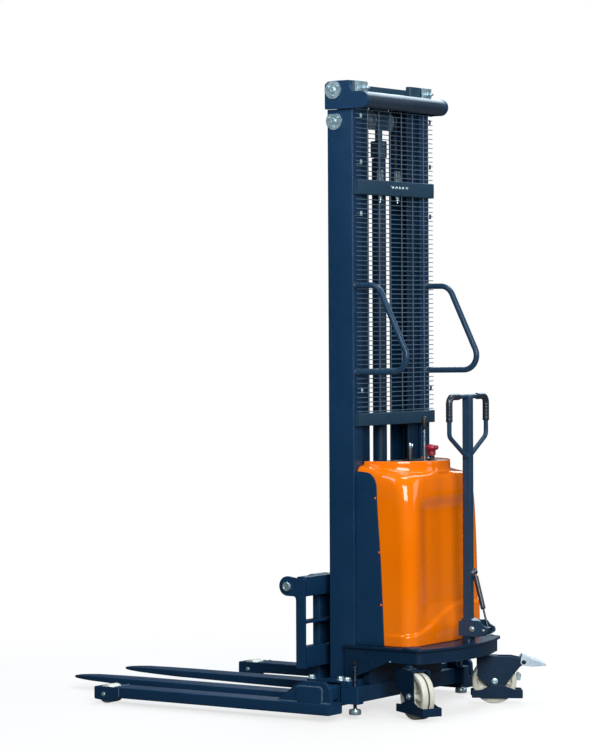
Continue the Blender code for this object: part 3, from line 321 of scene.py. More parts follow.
def add_rod(bm, start, end, radius, sides=20):
    """Cylinder between two points."""
    start, end = Vector(start), Vector(end)
    made = bmesh.ops.create_cone(bm, cap_ends=True, segments=sides, radius1=radius,
                                 radius2=radius, depth=(end - start).length)["verts"]
    matrix = Matrix.Translation((start + end) / 2) @ turn_to(end - start)
    bmesh.ops.transform(bm, matrix=matrix, verts=made)


def add_turned(bm, profile, start, direction=UP, sides=28, index=0, closed=False):
    """Solid of revolution of (radius, height) pairs in mm, along direction from start."""
    points = list(profile)
    if not closed:
        points = [(0.0, profile[0][1]), *profile, (0.0, profile[-1][1])]
    rings = []
    for radius, height in points:
        turns = [math.tau * i / sides for i in range(sides if radius else 1)]
        r = radius * MM
        rings.append([bm.verts.new((r * math.cos(t), r * math.sin(t), height * MM))
                      for t in turns])
    made = [vert for ring in rings for vert in ring]
    for lower, upper in zip(rings, rings[1:] + rings[:1] if closed else rings[1:]):
        for i in range(sides):
            k = (i + 1) % sides
            corners = [lower[i % len(lower)], lower[k % len(lower)],
                       upper[k % len(upper)], upper[i % len(upper)]]
            unique = list(dict.fromkeys(corners))
            if len(unique) > 2:
                bm.faces.new(unique)
    bmesh.ops.transform(bm, matrix=Matrix.Translation(start) @ turn_to(direction), verts=made)
    set_index(made, index)


PLANES = {"xy": Matrix(((1, 0, 0), (0, 1, 0), (0, 0, 1))),
          "yz": Matrix(((0, 0, 1), (1, 0, 0), (0, 1, 0))),
          "xz": Matrix(((1, 0, 0), (0, 0, 1), (0, 1, 0)))}


def add_plate(bm, outline, plane, near, far, index=0, holes=()):
    """Prism of a flat outline; the plane's third axis runs between near and far."""
    axes = PLANES[plane]
    near, far = sorted((near, far))
    made, bottoms, tops = [], [], []
    for loop in [outline, *holes]:
        bottom, top = ([bm.verts.new(axes @ Vector((x, y, level))) for x, y in loop]
                       for level in (near, far))
        made += bottom + top
        bottoms.append(bottom)
        tops.append(top)
        for i in range(len(loop)):
            k = (i + 1) % len(loop)
            bm.faces.new((bottom[i], bottom[k], top[k], top[i]))
    for rings in (bottoms, tops):
        if not holes:
            bm.faces.new(rings[0])
            continue
        edges = [bm.edges.get(pair) for ring in rings for pair in zip(ring, ring[1:] + ring[:1])]
        bmesh.ops.triangle_fill(bm, use_beauty=True, use_dissolve=False, edges=edges)
    set_index(made, index)
    return made


def rect(x0, y0, x1, y1, radius=0.0, steps=4):
    """Rectangle with rounded corners; its X limits may come in either order."""
    x0, x1 = sorted((x0, x1))
    return rounded([(x0, y0), (x1, y0), (x1, y1), (x0, y1)], radius, steps)


def arc(cx, cy, radius, start, end, count=6):
    """Points along an arc, both ends included; angles in degrees."""
    step = (end - start) / count
    return [
        (cx + radius * math.cos(math.radians(start + step * i)),
         cy + radius * math.sin(math.radians(start + step * i)))
        for i in range(count + 1)
    ]


def circle(cx, cy, radius, count=16):
    """Points round a circle."""
    return arc(cx, cy, radius, 0, 360 - 360 / count, count - 1)


def rounded(points, radius, steps=5):
    """Closed outline with every corner rounded by a radius, or by its own one of a list."""
    count = len(points)
    radii = radius if isinstance(radius, list) else [radius] * count
    result = []
    for i, size in enumerate(radii):
        corner = Vector(points[i])
        if size <= 0:
            result.append(tuple(corner))
            continue
        before = Vector(points[i - 1]) - corner
        after = Vector(points[(i + 1) % count]) - corner
        half = before.angle(after) / 2
        reach = min(size / math.tan(half), before.length * 0.48, after.length * 0.48)
        start = corner + before.normalized() * reach
        end = corner + after.normalized() * reach
        for k in range(steps + 1):
            t = k / steps
            result.append(tuple(start * (1 - t) ** 2 + corner * 2 * t * (1 - t) + end * t ** 2))
    return result


def smooth_path(points, radius, steps=6):
    """Polyline in space with its corners rounded."""
    points = [Vector(p) for p in points]
    path = [points[0]]
    for before, corner, after in zip(points, points[1:], points[2:]):
        a = before - corner
        b = after - corner
        half = a.angle(b) / 2
        reach = min(radius / math.tan(half), a.length * 0.49, b.length * 0.49)
        size = reach * math.tan(half)
        a.normalize()
        b.normalize()
        centre = corner + (a + b).normalized() * (reach / math.cos(half))
        first = corner + a * reach - centre
        last = corner + b * reach - centre
        sweep = first.angle(last)
        turn = first.cross(last).normalized()
        for i in range(steps + 1):
            spoke = first.normalized() * size
            spoke.rotate(Matrix.Rotation(sweep * i / steps, 3, turn))
            path.append(centre + spoke)
    path.append(points[-1])
    return path


def add_tube(bm, path, radii, sides=14):
    """Round tube of one radius, or one per point, along a path and closed at both ends."""
    path = [Vector(p) for p in path]
    if isinstance(radii, float):
        radii = [radii] * len(path)
    rings = []
    side = None
    for i, (point, size) in enumerate(zip(path, radii)):
        ahead = path[min(i + 1, len(path) - 1)] - path[max(i - 1, 0)]
        ahead.normalize()
        if side is None:
            side = ahead.cross(Vector(UP))
            if side.length < 0.1:
                side = ahead.cross(Vector(LEFT))
        else:
            side = side - ahead * side.dot(ahead)
        side.normalize()
        other = ahead.cross(side)
        rings.append([point + (side * math.cos(math.tau * k / sides)
                               + other * math.sin(math.tau * k / sides)) * size
                      for k in range(sides)])
    add_loft(bm, rings)


def add_loft(bm, rings):
    """Skin through rings of equal point counts, closed at both ends."""
    made = [[bm.verts.new(p) for p in ring] for ring in rings]
    count = len(rings[0])
    for lower, upper in zip(made, made[1:]):
        for i in range(count):
            k = (i + 1) % count
            bm.faces.new((lower[i], lower[k], upper[k], upper[i]))
    bm.faces.new(made[0])
    bm.faces.new(made[-1])


def divided(points, pitch):
    """Polyline with points added so that none are much more than a pitch apart."""
    path = []
    for a, b in zip(points, points[1:]):
        steps = max(1, round((b - a).length / pitch))
        path += [a.lerp(b, i / steps) for i in range(steps)]
    return [*path, points[-1]]


def add_wheel(bm, half, place, direction, sides):
    """Closed ring turned about direction; half is its section on one side of its middle."""
    whole = [(r, -h) for r, h in half] + [(r, h) for r, h in reversed(half)]
    add_turned(bm, whole, place, direction, sides, 0, True)


def add_nut(bm, place, direction, flat, size, height, chamfer=1):
    """Hex nut in mm; flat is the radius of its two faces inside their chamfers."""
    add_turned(bm, [(flat, 0), (size, chamfer), (size, height - chamfer), (flat, height)],
               place, direction, 6)


def add_bolt(bm, place, direction, size, height, washer=0):
    """Hex head in mm with a chamfered crown, on a washer if one is asked for."""
    place, direction = Vector(place), Vector(direction)
    if washer:
        add_turned(bm, [(washer, 0), (washer, 1.2), (washer - 0.6, 1.8)], place, direction, 20)
        place += direction * 1.6 * MM
    add_turned(bm, [(size, 0), (size, height * 0.78), (size * 0.86, height)], place, direction,
               6)


def add_socket_screw(bm, place, direction, radius=4.6, height=2.6):
    """Button head in mm, with a recess."""
    add_turned(bm, [(radius, 0), (radius, height * 0.4), (radius * 0.80, height * 0.85),
                    (radius * 0.50, height), (radius * 0.42, height * 0.35)],
               place, direction, 16)


def span(side, near, far):
    """Lower and higher of two distances taken to one side."""
    return min(side * near, side * far), max(side * near, side * far)


# ------------------------------------------------------------------ CAD nodes
def paint_nodes():
    """Give every CAD node its finish; most are stood for by finer pieces."""
    for material, single, paired in (
        (NAVY, ["carriage_frame", "leg_sleeve", "base_plate"],
         ["outer_channel", "cap_plate", "leg", "grab_handle", "fork"]),
        # Painted shade: the inner mast, lift cylinder, guard and caster forks take the darker copy
        # of the navy coat.
        (SHADED_NAVY, ["inner_tie", "lift_cylinder", "guard_upper", "guard_lower"],
         ["inner_channel", "caster_fork"]),
        (SLATE, ["upper_bracket", "lower_bracket", "top_cross_plate", "ram"], []),
        (TUBE, ["top_tube", "tiller_tube", "tiller_yoke"], ["side_panel"]),
        (ZINC, ["fork_shaft", "brake_pedal"], ["jack_foot", "outer_disc", "inner_disc"]),
        (MOTOR, ["pump_unit"], ["pulley"]),
        (CASE, ["battery"], []),
        (CHAIN, [], ["chain_rear", "chain_front"]),
        (IVORY, [], ["load_roller", "caster_wheel"]),
        (ORANGE, ["cover"], []),
        (BLACK, ["dashboard", "estop_base", "gas_cylinder"], []),
        (RUBBER, [], ["tiller_grip"]),
        (RED, ["estop_knob"], []),
        (CHROME, ["gas_rod", "control_lever"], []),
    ):
        for name in single + [name + "_" + tag for name in paired for tag in "LR"]:
            obj = NODES[name]
            for entry in obj.material_slots:
                entry.material = material
            if not obj.material_slots:
                obj.data.materials.append(material)


# ------------------------------------------------------------------ wire guard
def wire_guard():
    """Welded mesh: close level wires on six uprights, in a panel above and below the bracket."""
    wire_y, wire_r, pitch = 0.0185, 0.0017, 0.0174
    lowest, highest = 1.112, 2.2270
    gap_low, gap_high = 1.908, 1.975

    def wires(bm):
        level = highest
        while level > lowest:
            if not gap_low < level < gap_high:
                add_rod(bm, (-0.2655, wire_y - wire_r, level), (0.2655, wire_y - wire_r, level),
                        wire_r, 8)
            level -= pitch
        for x in (-0.195, -0.117, -0.039, 0.039, 0.117, 0.195):
            for low, high in ((1.1085, 1.9135), (1.9705, 2.2285)):
                add_rod(bm, (x, wire_y + wire_r, low), (x, wire_y + wire_r, high), wire_r * 1.15,
                        8)

    new_piece("wire_mesh", "truck", WIRE, wires, ("guard_upper", "guard_lower"))
    for tag, side, _ in SIDES:
        def clips(bm):
            """Clips that hold the mesh to the mast."""
            for z in (2.203, 2.033, 1.844, 1.192):
                near, far = side * 0.234, side * 0.247
                add_plate(bm, rect(near, z - 0.009, far, z + 0.009, 0.002, 3), "xz", 0.0205,
                          0.0222)
                add_box(bm, (near, 0.0006, z - 0.008), (far, 0.0205, z - 0.0062))
                add_bolt(bm, ((near + far) / 2, 0.0222, z), REAR, 3.8, 2.8)

        # The far side's clips are the same zinc clips, given the darker slate paint as painted
        # shade.
        new_piece("mesh_clips_" + tag, "truck", ZINC if side > 0 else SLATE,
                  clips, (), 0.0004, 1)


# ------------------------------------------------------------------ cover
COVER = (
    # height, half width, rear, corner radius, climb of the front edge
    (0.2572, 0.2608, 0.2428, 0.050, 0.000),
    (0.2600, 0.2620, 0.2440, 0.050, 0.000),
    (0.3000, 0.2618, 0.2438, 0.050, 0.000),
    (0.3400, 0.2615, 0.2436, 0.050, 0.000),
    (0.3800, 0.2610, 0.2433, 0.050, 0.000),
    (0.4200, 0.2605, 0.2430, 0.050, 0.000),
    (0.5000, 0.2596, 0.2422, 0.050, 0.000),
    (0.6000, 0.2582, 0.2410, 0.051, 0.000),
    (0.7000, 0.2565, 0.2390, 0.054, 0.002),
    (0.7600, 0.2552, 0.2372, 0.057, 0.006),
    (0.8000, 0.2542, 0.2358, 0.062, 0.014),
    (0.8300, 0.2528, 0.2345, 0.070, 0.024),
    (0.8520, 0.2500, 0.2325, 0.080, 0.030),
    (0.8680, 0.2450, 0.2300, 0.090, 0.030),
    (0.8790, 0.2380, 0.2270, 0.097, 0.030),
)


def cover_ring(half, rear, corner):
    """Half of the plan as (x, y) from the mast side round to the middle of the rear."""
    side_n, corner_n, rear_n = 12, 8, 12
    front = 0.0016
    return [*[(half, front + (rear - corner - front) * i / side_n) for i in range(side_n)],
            *arc(half - corner, rear - corner, corner, 0, 90, corner_n)[:-1],
            *[((half - corner) * (1 - i / rear_n), rear) for i in range(rear_n + 1)]]


def swoosh_height(x):
    """Height of the crease across the rear face: low at the near corner, high past the middle."""
    return 0.297 + 0.094 * smoothstep(0.0, 0.375, 0.262 - x)


def smoothstep(low, high, value):
    t = min(1.0, max(0.0, (value - low) / (high - low)))
    return t * t * (3 - 2 * t)


def rear_relief(x, y, z):
    """How far the rear face sinks at a point: a broad dish, and the step over the crease."""
    across = 1 - smoothstep(0.110, 0.200, abs(x))
    dish = 0.0155 * across * smoothstep(0.30, 0.42, z) * (1 - smoothstep(0.755, 0.800, z))
    step = 0.0055 * smoothstep(0.10, 0.19, y) * smoothstep(-0.004, 0.006, z - swoosh_height(x))
    return dish, step


def cover_row(height):
    """The table's row at a height, interpolated."""
    for lower, upper in zip(COVER, COVER[1:]):
        if height <= upper[0] + 1e-9:
            share = (height - lower[0]) / (upper[0] - lower[0])
            return [a + (b - a) * share for a, b in zip(lower, upper)]
    return COVER[-1]


def cover_levels():
    """Heights of the skin's rings, with more of them round the crease."""
    heights = [0.2572, 0.2600]
    z = 0.266
    while z < 0.415:
        heights.append(z)
        z += 0.0045
    return heights + [0.43, 0.46, 0.50, 0.55, 0.60, 0.65, 0.70, 0.735, 0.755, 0.770, 0.785, 0.80,
                      0.815, 0.83, 0.842, 0.852, 0.861, 0.868, 0.8745, 0.879]


def add_sheet(bm, rows):
    """Open skin through rows of equal point counts."""
    grid = [[bm.verts.new(p) for p in row] for row in rows]
    for lower, upper in zip(grid, grid[1:]):
        for i in range(len(lower) - 1):
            bm.faces.new((lower[i], lower[i + 1], upper[i + 1], upper[i]))


def cover_shell():
    """Moulded cover as one lofted skin: side walls, shoulder, collar wall, rim and inner lip."""
    front = 0.0016
    rows = []
    for height, half, rear, corner, climb in map(cover_row, cover_levels()):
        ring = cover_ring(half, rear, corner)
        row = []
        for x, y in ring + [(-x, y) for x, y in reversed(ring[:-1])]:
            z = height + climb * (1 - smoothstep(0.0, 0.17, y))
            dish, step = rear_relief(x, y, height)
            row.append(Vector((x * (1 - step / 0.30),
                               y - (dish + step) * smoothstep(0.12, rear, y), z)))
        rows.append(row)
    top = rows[-1]

    def collar(grow):
        """Half-round plan of the collar's wall, with a point under each one of the shoulder."""
        turns = [math.atan2(max(p.y - front, 0.0) / 0.2205, p.x / 0.200) for p in top]
        return [Vector(((0.200 + grow) * math.cos(turn),
                        front + (0.2205 + grow - front) * math.sin(turn), 0.0))
                for turn in turns]

    def base_height(p):
        return 0.888 + 0.029 * (1 - smoothstep(0.0, 0.17, p.y))

    foot = collar(0.0035)
    for share, lift_share in ((0.35, 0.55), (0.72, 0.86)):
        rows.append([Vector((p.x + (f.x - p.x) * share, p.y + (f.y - p.y) * share,
                             p.z + (base_height(f) - p.z) * lift_share))
                     for p, f in zip(top, foot)])
    rows.append([Vector((f.x, f.y, base_height(f))) for f in foot])
    rows.append([Vector((f.x, f.y, base_height(f) + 0.0035)) for f in collar(0.0010)])
    for grow, height in ((0.0002, 0.9270), (-0.0008, 0.9292), (-0.0022, 0.9300),
                         (-0.0036, 0.9292), (-0.0040, 0.9180)):
        rows.append([Vector((f.x, f.y, height)) for f in collar(grow)])
    bm = bmesh.new()
    add_sheet(bm, rows)
    obj = put("cover_skin", bm, ORANGE, "truck", ("cover",))
    add_modifier(obj, "SUBSURF", levels=1, render_levels=1)
    add_modifier(obj, "SOLIDIFY", thickness=0.003, offset=-1.0)


def side_panels():
    """Steel side panels that follow the cover's flanks, each held by small screws."""
    rear_edge = ((0.2575, 0.1270), (0.4260, 0.1190), (0.5720, 0.1110), (0.7900, 0.0935),
                 (0.8200, 0.0925), (0.8420, 0.0910), (0.8600, 0.0860), (0.8740, 0.0770),
                 (0.8850, 0.0640), (0.8905, 0.0500), (0.8925, 0.0340), (0.8930, 0.0180))
    fine = []
    for (z0, y0), (z1, y1) in zip(rear_edge, rear_edge[1:]):
        steps = max(1, round((z1 - z0) / 0.03))
        fine += [(z0 + (z1 - z0) * i / steps, y0 + (y1 - y0) * i / steps) for i in range(steps)]
    fine.append(rear_edge[-1])
    front, columns = 0.0012, 10

    def half_width(z):
        return cover_row(z)[1]

    for tag, side, _ in SIDES:
        bm = bmesh.new()
        add_sheet(bm, [[(side * (half_width(z - 0.028 * smoothstep(0.78, 0.89, z)) + 0.0006),
                         front + (rear - front) * i / columns, z) for i in range(columns + 1)]
                       for z, rear in fine])
        obj = put("side_sheet_" + tag, bm, NAVY, "truck", ("side_panel_" + tag,))
        add_modifier(obj, "SOLIDIFY", thickness=0.0028, offset=0.0)
        add_modifier(obj, "BEVEL", width=0.0008, segments=2, limit_method="ANGLE")

        def screws(bm):
            for y, z in ((0.086, 0.798), (0.106, 0.600), (0.114, 0.4075)):
                add_socket_screw(bm, (side * (half_width(z) + 0.0018), y, z), (side, 0, 0), 4.2)

        new_piece("panel_screws_" + tag, "truck", ORANGE, screws)


def dashboard():
    """Moulded panel in the collar with a charge gauge, a key switch and cable gland."""
    gauge, key, post = (0.090, 0.080), (-0.110, 0.085), (0.034, 0.098)

    def panel(bm):
        add_plate(bm, [(0.1955 * math.cos(math.pi * i / 40),
                        0.0040 + 0.2120 * math.sin(math.pi * i / 40)) for i in range(41)],
                  "xy", 0.9175, DASH_TOP)
        add_turned(bm, [(15, 0), (15, 3), (12, 5.5), (9, 6), (7.8, 3)], (*LEVER, DASH_TOP), UP, 24)
        # bezels of the gauge and of the key switch
        add_turned(bm, [(27, 0), (27, 2), (24.5, 3.6), (22.5, 3.6), (22, 1.8)], (*gauge, DASH_TOP),
                   UP, 32)
        add_turned(bm, [(14, 0), (14, 2.5), (12, 3.6)], (*key, DASH_TOP), UP, 24)
        # dark round post that carries the small fitting
        add_turned(bm, [(9.5, 0), (9.5, 46), (8, 49)], (*post, DASH_TOP), UP, 24)

    new_piece("dash_panel", "truck", BLACK, panel, ("dashboard",), 0.0010)
    new_piece("gauge_face", "truck", DIAL,
              lambda bm: add_turned(bm, [(21.8, 0), (21.4, 2.2)], (*gauge, 0.9262)))

    def marks(bm):
        for i in range(9):
            angle = math.radians(210 - 30 * i)
            spoke = Vector((math.cos(angle), math.sin(angle), 0))
            start = Vector((*gauge, 0.9284)) + spoke * 0.0150
            add_rod(bm, start, start + spoke * 0.0040, 0.0006, 6)
        add_rod(bm, (*gauge, 0.9288), (0.0985, 0.0925, 0.9288), 0.0008, 6)

    new_piece("gauge_marks", "truck", BLACK, marks)

    def fittings(bm):
        add_turned(bm, [(8.5, 0), (8.5, 2), (7, 3)], (*key, 0.9292), UP, 24)
        add_box(bm, (-0.1112, 0.0790, 0.9300), (-0.1088, 0.0910, 0.9530))
        for dy in (-0.0065, 0.0065):
            add_turned(bm, [(10.4, 0), (10.4, 2)], (-0.1110, 0.085 + dy * 0.5, 0.9510), LEFT, 20)
        # small bright fitting on its post
        for x, y, radius, height in ((*post, 4.0, 17.0), (0.028, 0.104, 3.4, 13.5)):
            add_turned(bm, [(radius * 0.75, 0), (radius * 0.75, 5), (radius, 5.5),
                            (radius, height), (radius * 0.7, height + 1.8)], (x, y, 0.9745),
                       UP, 20)

    new_piece("dash_fittings", "truck", ZINC, fittings, (), 0.0004, 1)


def stop_button():
    """Mushroom head with a grooved skirt, on a black collar."""
    place = (-0.045, 0.145, 0)
    top = 926

    def raised(*profile):
        return [(radius, top + height) for radius, height in profile]

    head = raised((11.2, 26), (11.2, 19), (12.8, 18.7), (14.2, 20.5), (14.5, 23.5), (13.9, 24.5),
                  (14.5, 25.5), (14.5, 29), (13.9, 30), (14.5, 31), (14.6, 38), (20, 39.5),
                  (23.6, 41.5), (25.2, 45), (25.4, 49), (24, 54.5), (20.5, 58), (14, 59.6),
                  (6, 59.8))
    new_piece("stop_head", "stop_button", RED,
              lambda bm: add_turned(bm, head, place, UP, 48), ("estop_knob",), angle=50)
    collar = raised((20, -0.4), (20, 2), (18.8, 3.2), (12, 3.6), (10.6, 5), (10.6, 11), (10, 12),
                    (10.6, 13), (10.6, 17.6))
    new_piece("stop_collar", "truck", BLACK,
              lambda bm: add_turned(bm, collar, place, UP, 32), ("estop_base",), angle=50)


def lever():
    """Bright stem with a tapered black knob."""
    new_piece("lever_stem", "control_lever", CHROME,
              lambda bm: add_turned(bm, [(3.8, 927.2), (4.6, 930), (4.6, 1048)], (*LEVER, 0), UP,
                                    20), ("control_lever",))
    new_piece("lever_knob", "control_lever", BLACK,
              lambda bm: add_turned(bm, [(6, 1044), (7.8, 1045.5), (8.6, 1050), (9.4, 1060),
                                         (10, 1072), (10, 1082), (9, 1089), (6.2, 1092.2),
                                         (2.5, 1093)], (*LEVER, 0)), angle=60)


# ------------------------------------------------------------------ base plate
def base_outline(inset, front=-0.030, count=28):
    """Plan of the base plate from the mast round the bowed rear edge."""
    half = 0.292 - inset
    corner, corner_y, rear_y = 0.040, 0.270, 0.362
    bow = rear_y - corner_y - corner
    rear = []
    for i in range(1, count):
        x = (half - corner) * (1 - 2 * i / count)
        rear.append((x, rear_y - inset - bow * (x / (half - corner)) ** 2))
    right = arc(half - corner, corner_y - inset, corner, 0, 78, 9)
    left = [(-x, y) for x, y in reversed(right)]
    return [(half, front), *right, *rear, *left, (-half, front)]


def base_plate():
    """Thick floor plate with rounded rim, skirt below it, gussets, front wall and bosses."""
    def plate(bm):
        nose = arc(0.282, -0.030, 0.010, 0, -180, 6)
        add_plate(bm, [*base_outline(0.0)[1:-1], *[(-x, y) for x, y in nose],
                       (-0.2725, 0.0006), (0.2725, 0.0006), *reversed(nose)],
                  "xy", 0.2460, 0.2560)
        add_turned(bm, [(24.5, 0), (24.5, 19), (23.8, 20)], (0, NECK_Y, 0.2560), UP, 36)

    # The floor plate takes the darker copy of the navy coat as painted shade.
    new_piece("floor_plate", "truck", SHADED_NAVY, plate, ("base_plate",), 0.0030, 3, 50)

    def caps(bm):
        """Weld bead round the foot of the post, and caps over the caster stems."""
        foot = [(0.0262 * math.cos(math.tau * i / 40),
                 NECK_Y + 0.0262 * math.sin(math.tau * i / 40), 0.2568) for i in range(41)]
        add_tube(bm, foot, [0.0026 + 0.0005 * math.sin(i * 2.7) for i in range(41)], 8)
        for _, side, _ in SIDES:
            add_turned(bm, [(34.5, -6), (36, -4.5), (36, 1.2), (34.8, 3), (30, 4.2), (5, 4.4)],
                       (side * 0.259, 0.243, 0.2558), UP, 40)

    new_piece("floor_caps", "truck", SHADED_NAVY, caps, (), angle=60)

    def skirt(bm):
        add_plate(bm, [*base_outline(0.0080), *reversed(base_outline(0.0140))], "xy", 0.2000,
                  0.2464)
        gusset = rounded([(-0.034, 0.1365), (0.020, 0.142), (0.160, 0.2025), (0.190, 0.204),
                          (0.190, 0.240), (-0.034, 0.240)], [0.004, 0.03, 0.03, 0.004, 0, 0], 4)
        for _, side, _ in SIDES:
            add_plate(bm, gusset, "yz", side * 0.2778, side * 0.2842)
            add_turned(bm, [(23.2, 184.6), (24.5, 185.8), (24.5, 190), (23.2, 191.2), (23.2, 250)],
                       (side * 0.257, 0.236, 0), UP, 40)
        add_plate(bm, rect(-0.255, 0.1103, 0.255, 0.248, [0.010, 0.010, 0, 0]), "xz", 0.029,
                  0.056)

    # The skirt under the plate's rim takes the darker navy copy as painted shade.
    new_piece("floor_skirt", "truck", SHADED_NAVY, skirt, (), 0.0012)

    def bolts(bm):
        for _, side, _ in SIDES:
            add_bolt(bm, (side * 0.2843, 0.166, 0.2040), (side, 0, 0), 4, 3.4)

    new_piece("skirt_bolts", "truck", ZINC, bolts, (), 0.0004, 1)


def bead(bm, points, radius=0.0028, closed=False, seed=1.0):
    """Weld bead: a tube whose thickness ripples along its way."""
    points = [Vector(p) for p in points]
    path = divided(points + points[:1] if closed else points, 0.0035)
    radii = [radius * (1 + 0.22 * math.sin(i * 2.3 + seed) + 0.12 * math.sin(i * 0.7 + seed))
             for i in range(len(path))]
    add_tube(bm, path, radii, 8)


# ------------------------------------------------------------------ mast
def channel(side, out, lip, front, rear, wall, round_out, round_in):
    """Outline of one mast channel, open towards the middle."""
    points = [(out, front), (out, rear), (lip, rear), (lip, rear - wall),
              (out - wall, rear - wall), (out - wall, front + wall), (lip, front + wall),
              (lip, front)]
    radii = [round_out, round_out, 0.003, 0.003, round_in, round_in, 0.003, 0.003]
    return rounded([(side * x, y) for x, y in points], radii, 4)


def outer_mast():
    """Outer channels with their roller covers and the grab bars."""
    for tag, side, _ in SIDES:
        new_piece("mast_outer_" + tag, "truck", NAVY, lambda bm: add_plate(
            bm, channel(side, 0.266, 0.206, -0.111, 0.0, 0.012, 0.0045, 0.008), "xy",
            0.1303, 2.2281), ("outer_channel_" + tag,), 0.0007, 2)
        new_piece("disc_lower_" + tag, "truck", ZINC, lambda bm: roller_cover(
            bm, (side * 0.2663, -0.079, 2.186), side, 0.0257), ("outer_disc_" + tag,), 0.0004, 1)
        handle = [(side * 0.2483, 0.0006, 1.5795), (side * 0.2483, 0.098, 1.5795),
                  (side * 0.2483, 0.252, 1.2625), (side * 0.2483, 0.0006, 1.2595)]

        def grab(bm):
            add_tube(bm, smooth_path(handle, 0.055, 12), 0.011, 24)
            for z in (1.5795, 1.2595):
                add_turned(bm, [(14.5, 0), (13.5, 1.5), (11.8, 4.2)], (side * 0.2483, 0.0006, z),
                           REAR, 24)

        new_piece("grab_bar_" + tag, "truck", TUBE, grab,
                  ("grab_handle_" + tag,))


def roller_cover(bm, place, side, flat=None):
    """Roller cover with a recessed rim, a centre stub and three screws; flat trims its top."""
    outline = arc(0, 0, 0.0335, 0, 350, 35)
    if flat:
        outline = [(x, min(y, flat)) for x, y in outline]
        outline = [p for i, p in enumerate(outline)
                   if not (p[1] == flat and outline[i - 1][1] == flat
                           and outline[(i + 1) % len(outline)][1] == flat)]
    x, y, z = place
    add_plate(bm, [(y + a, z + b) for a, b in outline], "yz", x, x + side * 0.0058)
    face = x + side * 0.0057
    add_turned(bm, [(13.5, 0), (12.5, 1.2), (9.8, 1.4), (9.2, 4.4), (7.6, 4.8), (7, 3)],
               (face, y, z), (side, 0, 0), 32)
    for angle in (145, 35, 270):
        dy = 0.0222 * math.cos(math.radians(angle))
        dz = 0.0222 * math.sin(math.radians(angle))
        if flat:
            dz = min(dz, flat - 0.0085)
        add_socket_screw(bm, (face, y + dy, z + dz), (side, 0, 0))


def brackets():
    """Cross brackets, bolts and the lift chains' fixed ends."""
    half = 0.264

    def bar(low, high):
        return rect(0.0005, low, 0.0245, high, [0.001, 0.004, 0.004, 0.001])

    def upper(bm):
        add_plate(bm, bar(1.914, 1.970), "yz", -half, half)
        for side in (1, -1):
            add_box(bm, (side * 0.048, -0.012, 1.922), (side * 0.072, 0.004, 1.944))

    new_piece("bracket_upper", "truck", SLATE, upper, ("upper_bracket",), 0.0010)
    new_piece("bracket_lower", "truck", SLATE,
              lambda bm: add_plate(bm, bar(1.0603, 1.1072), "yz", -half, half),
              ("lower_bracket",), 0.0010)

    def bolts(bm):
        for x in (-0.068, -0.040, -0.018, 0.004, 0.030):
            add_turned(bm, [(6.2, 0), (6.2, 1), (5, 1.6), (5, 4.4), (3.4, 5.2)],
                       (x, 0.0244, 1.945), REAR, 18)
        for side in (1, -1):
            # threaded ends of the lift chains with their nuts below the bracket
            x = side * 0.060
            add_rod(bm, (x, -0.0120, 1.890), (x, -0.0120, 1.9230), 0.0042, 14)
            for z in (1.8970, 1.9080):
                add_nut(bm, (x, -0.0120, z), UP, 7.8, 8.3, 7)
            for way in (1, -1):
                low, high = span(way, 0.0104, 0.0128)
                add_plate(bm, rounded([(-0.0200, 1.9560), (-0.0040, 1.9560), (-0.0070, 2.0120),
                                       (-0.0170, 2.0120)], [0, 0, 0.004, 0.004], 4), "yz",
                          x + low, x + high)

    new_piece("bracket_bolts", "truck", ZINC, bolts, (), 0.0004, 1)


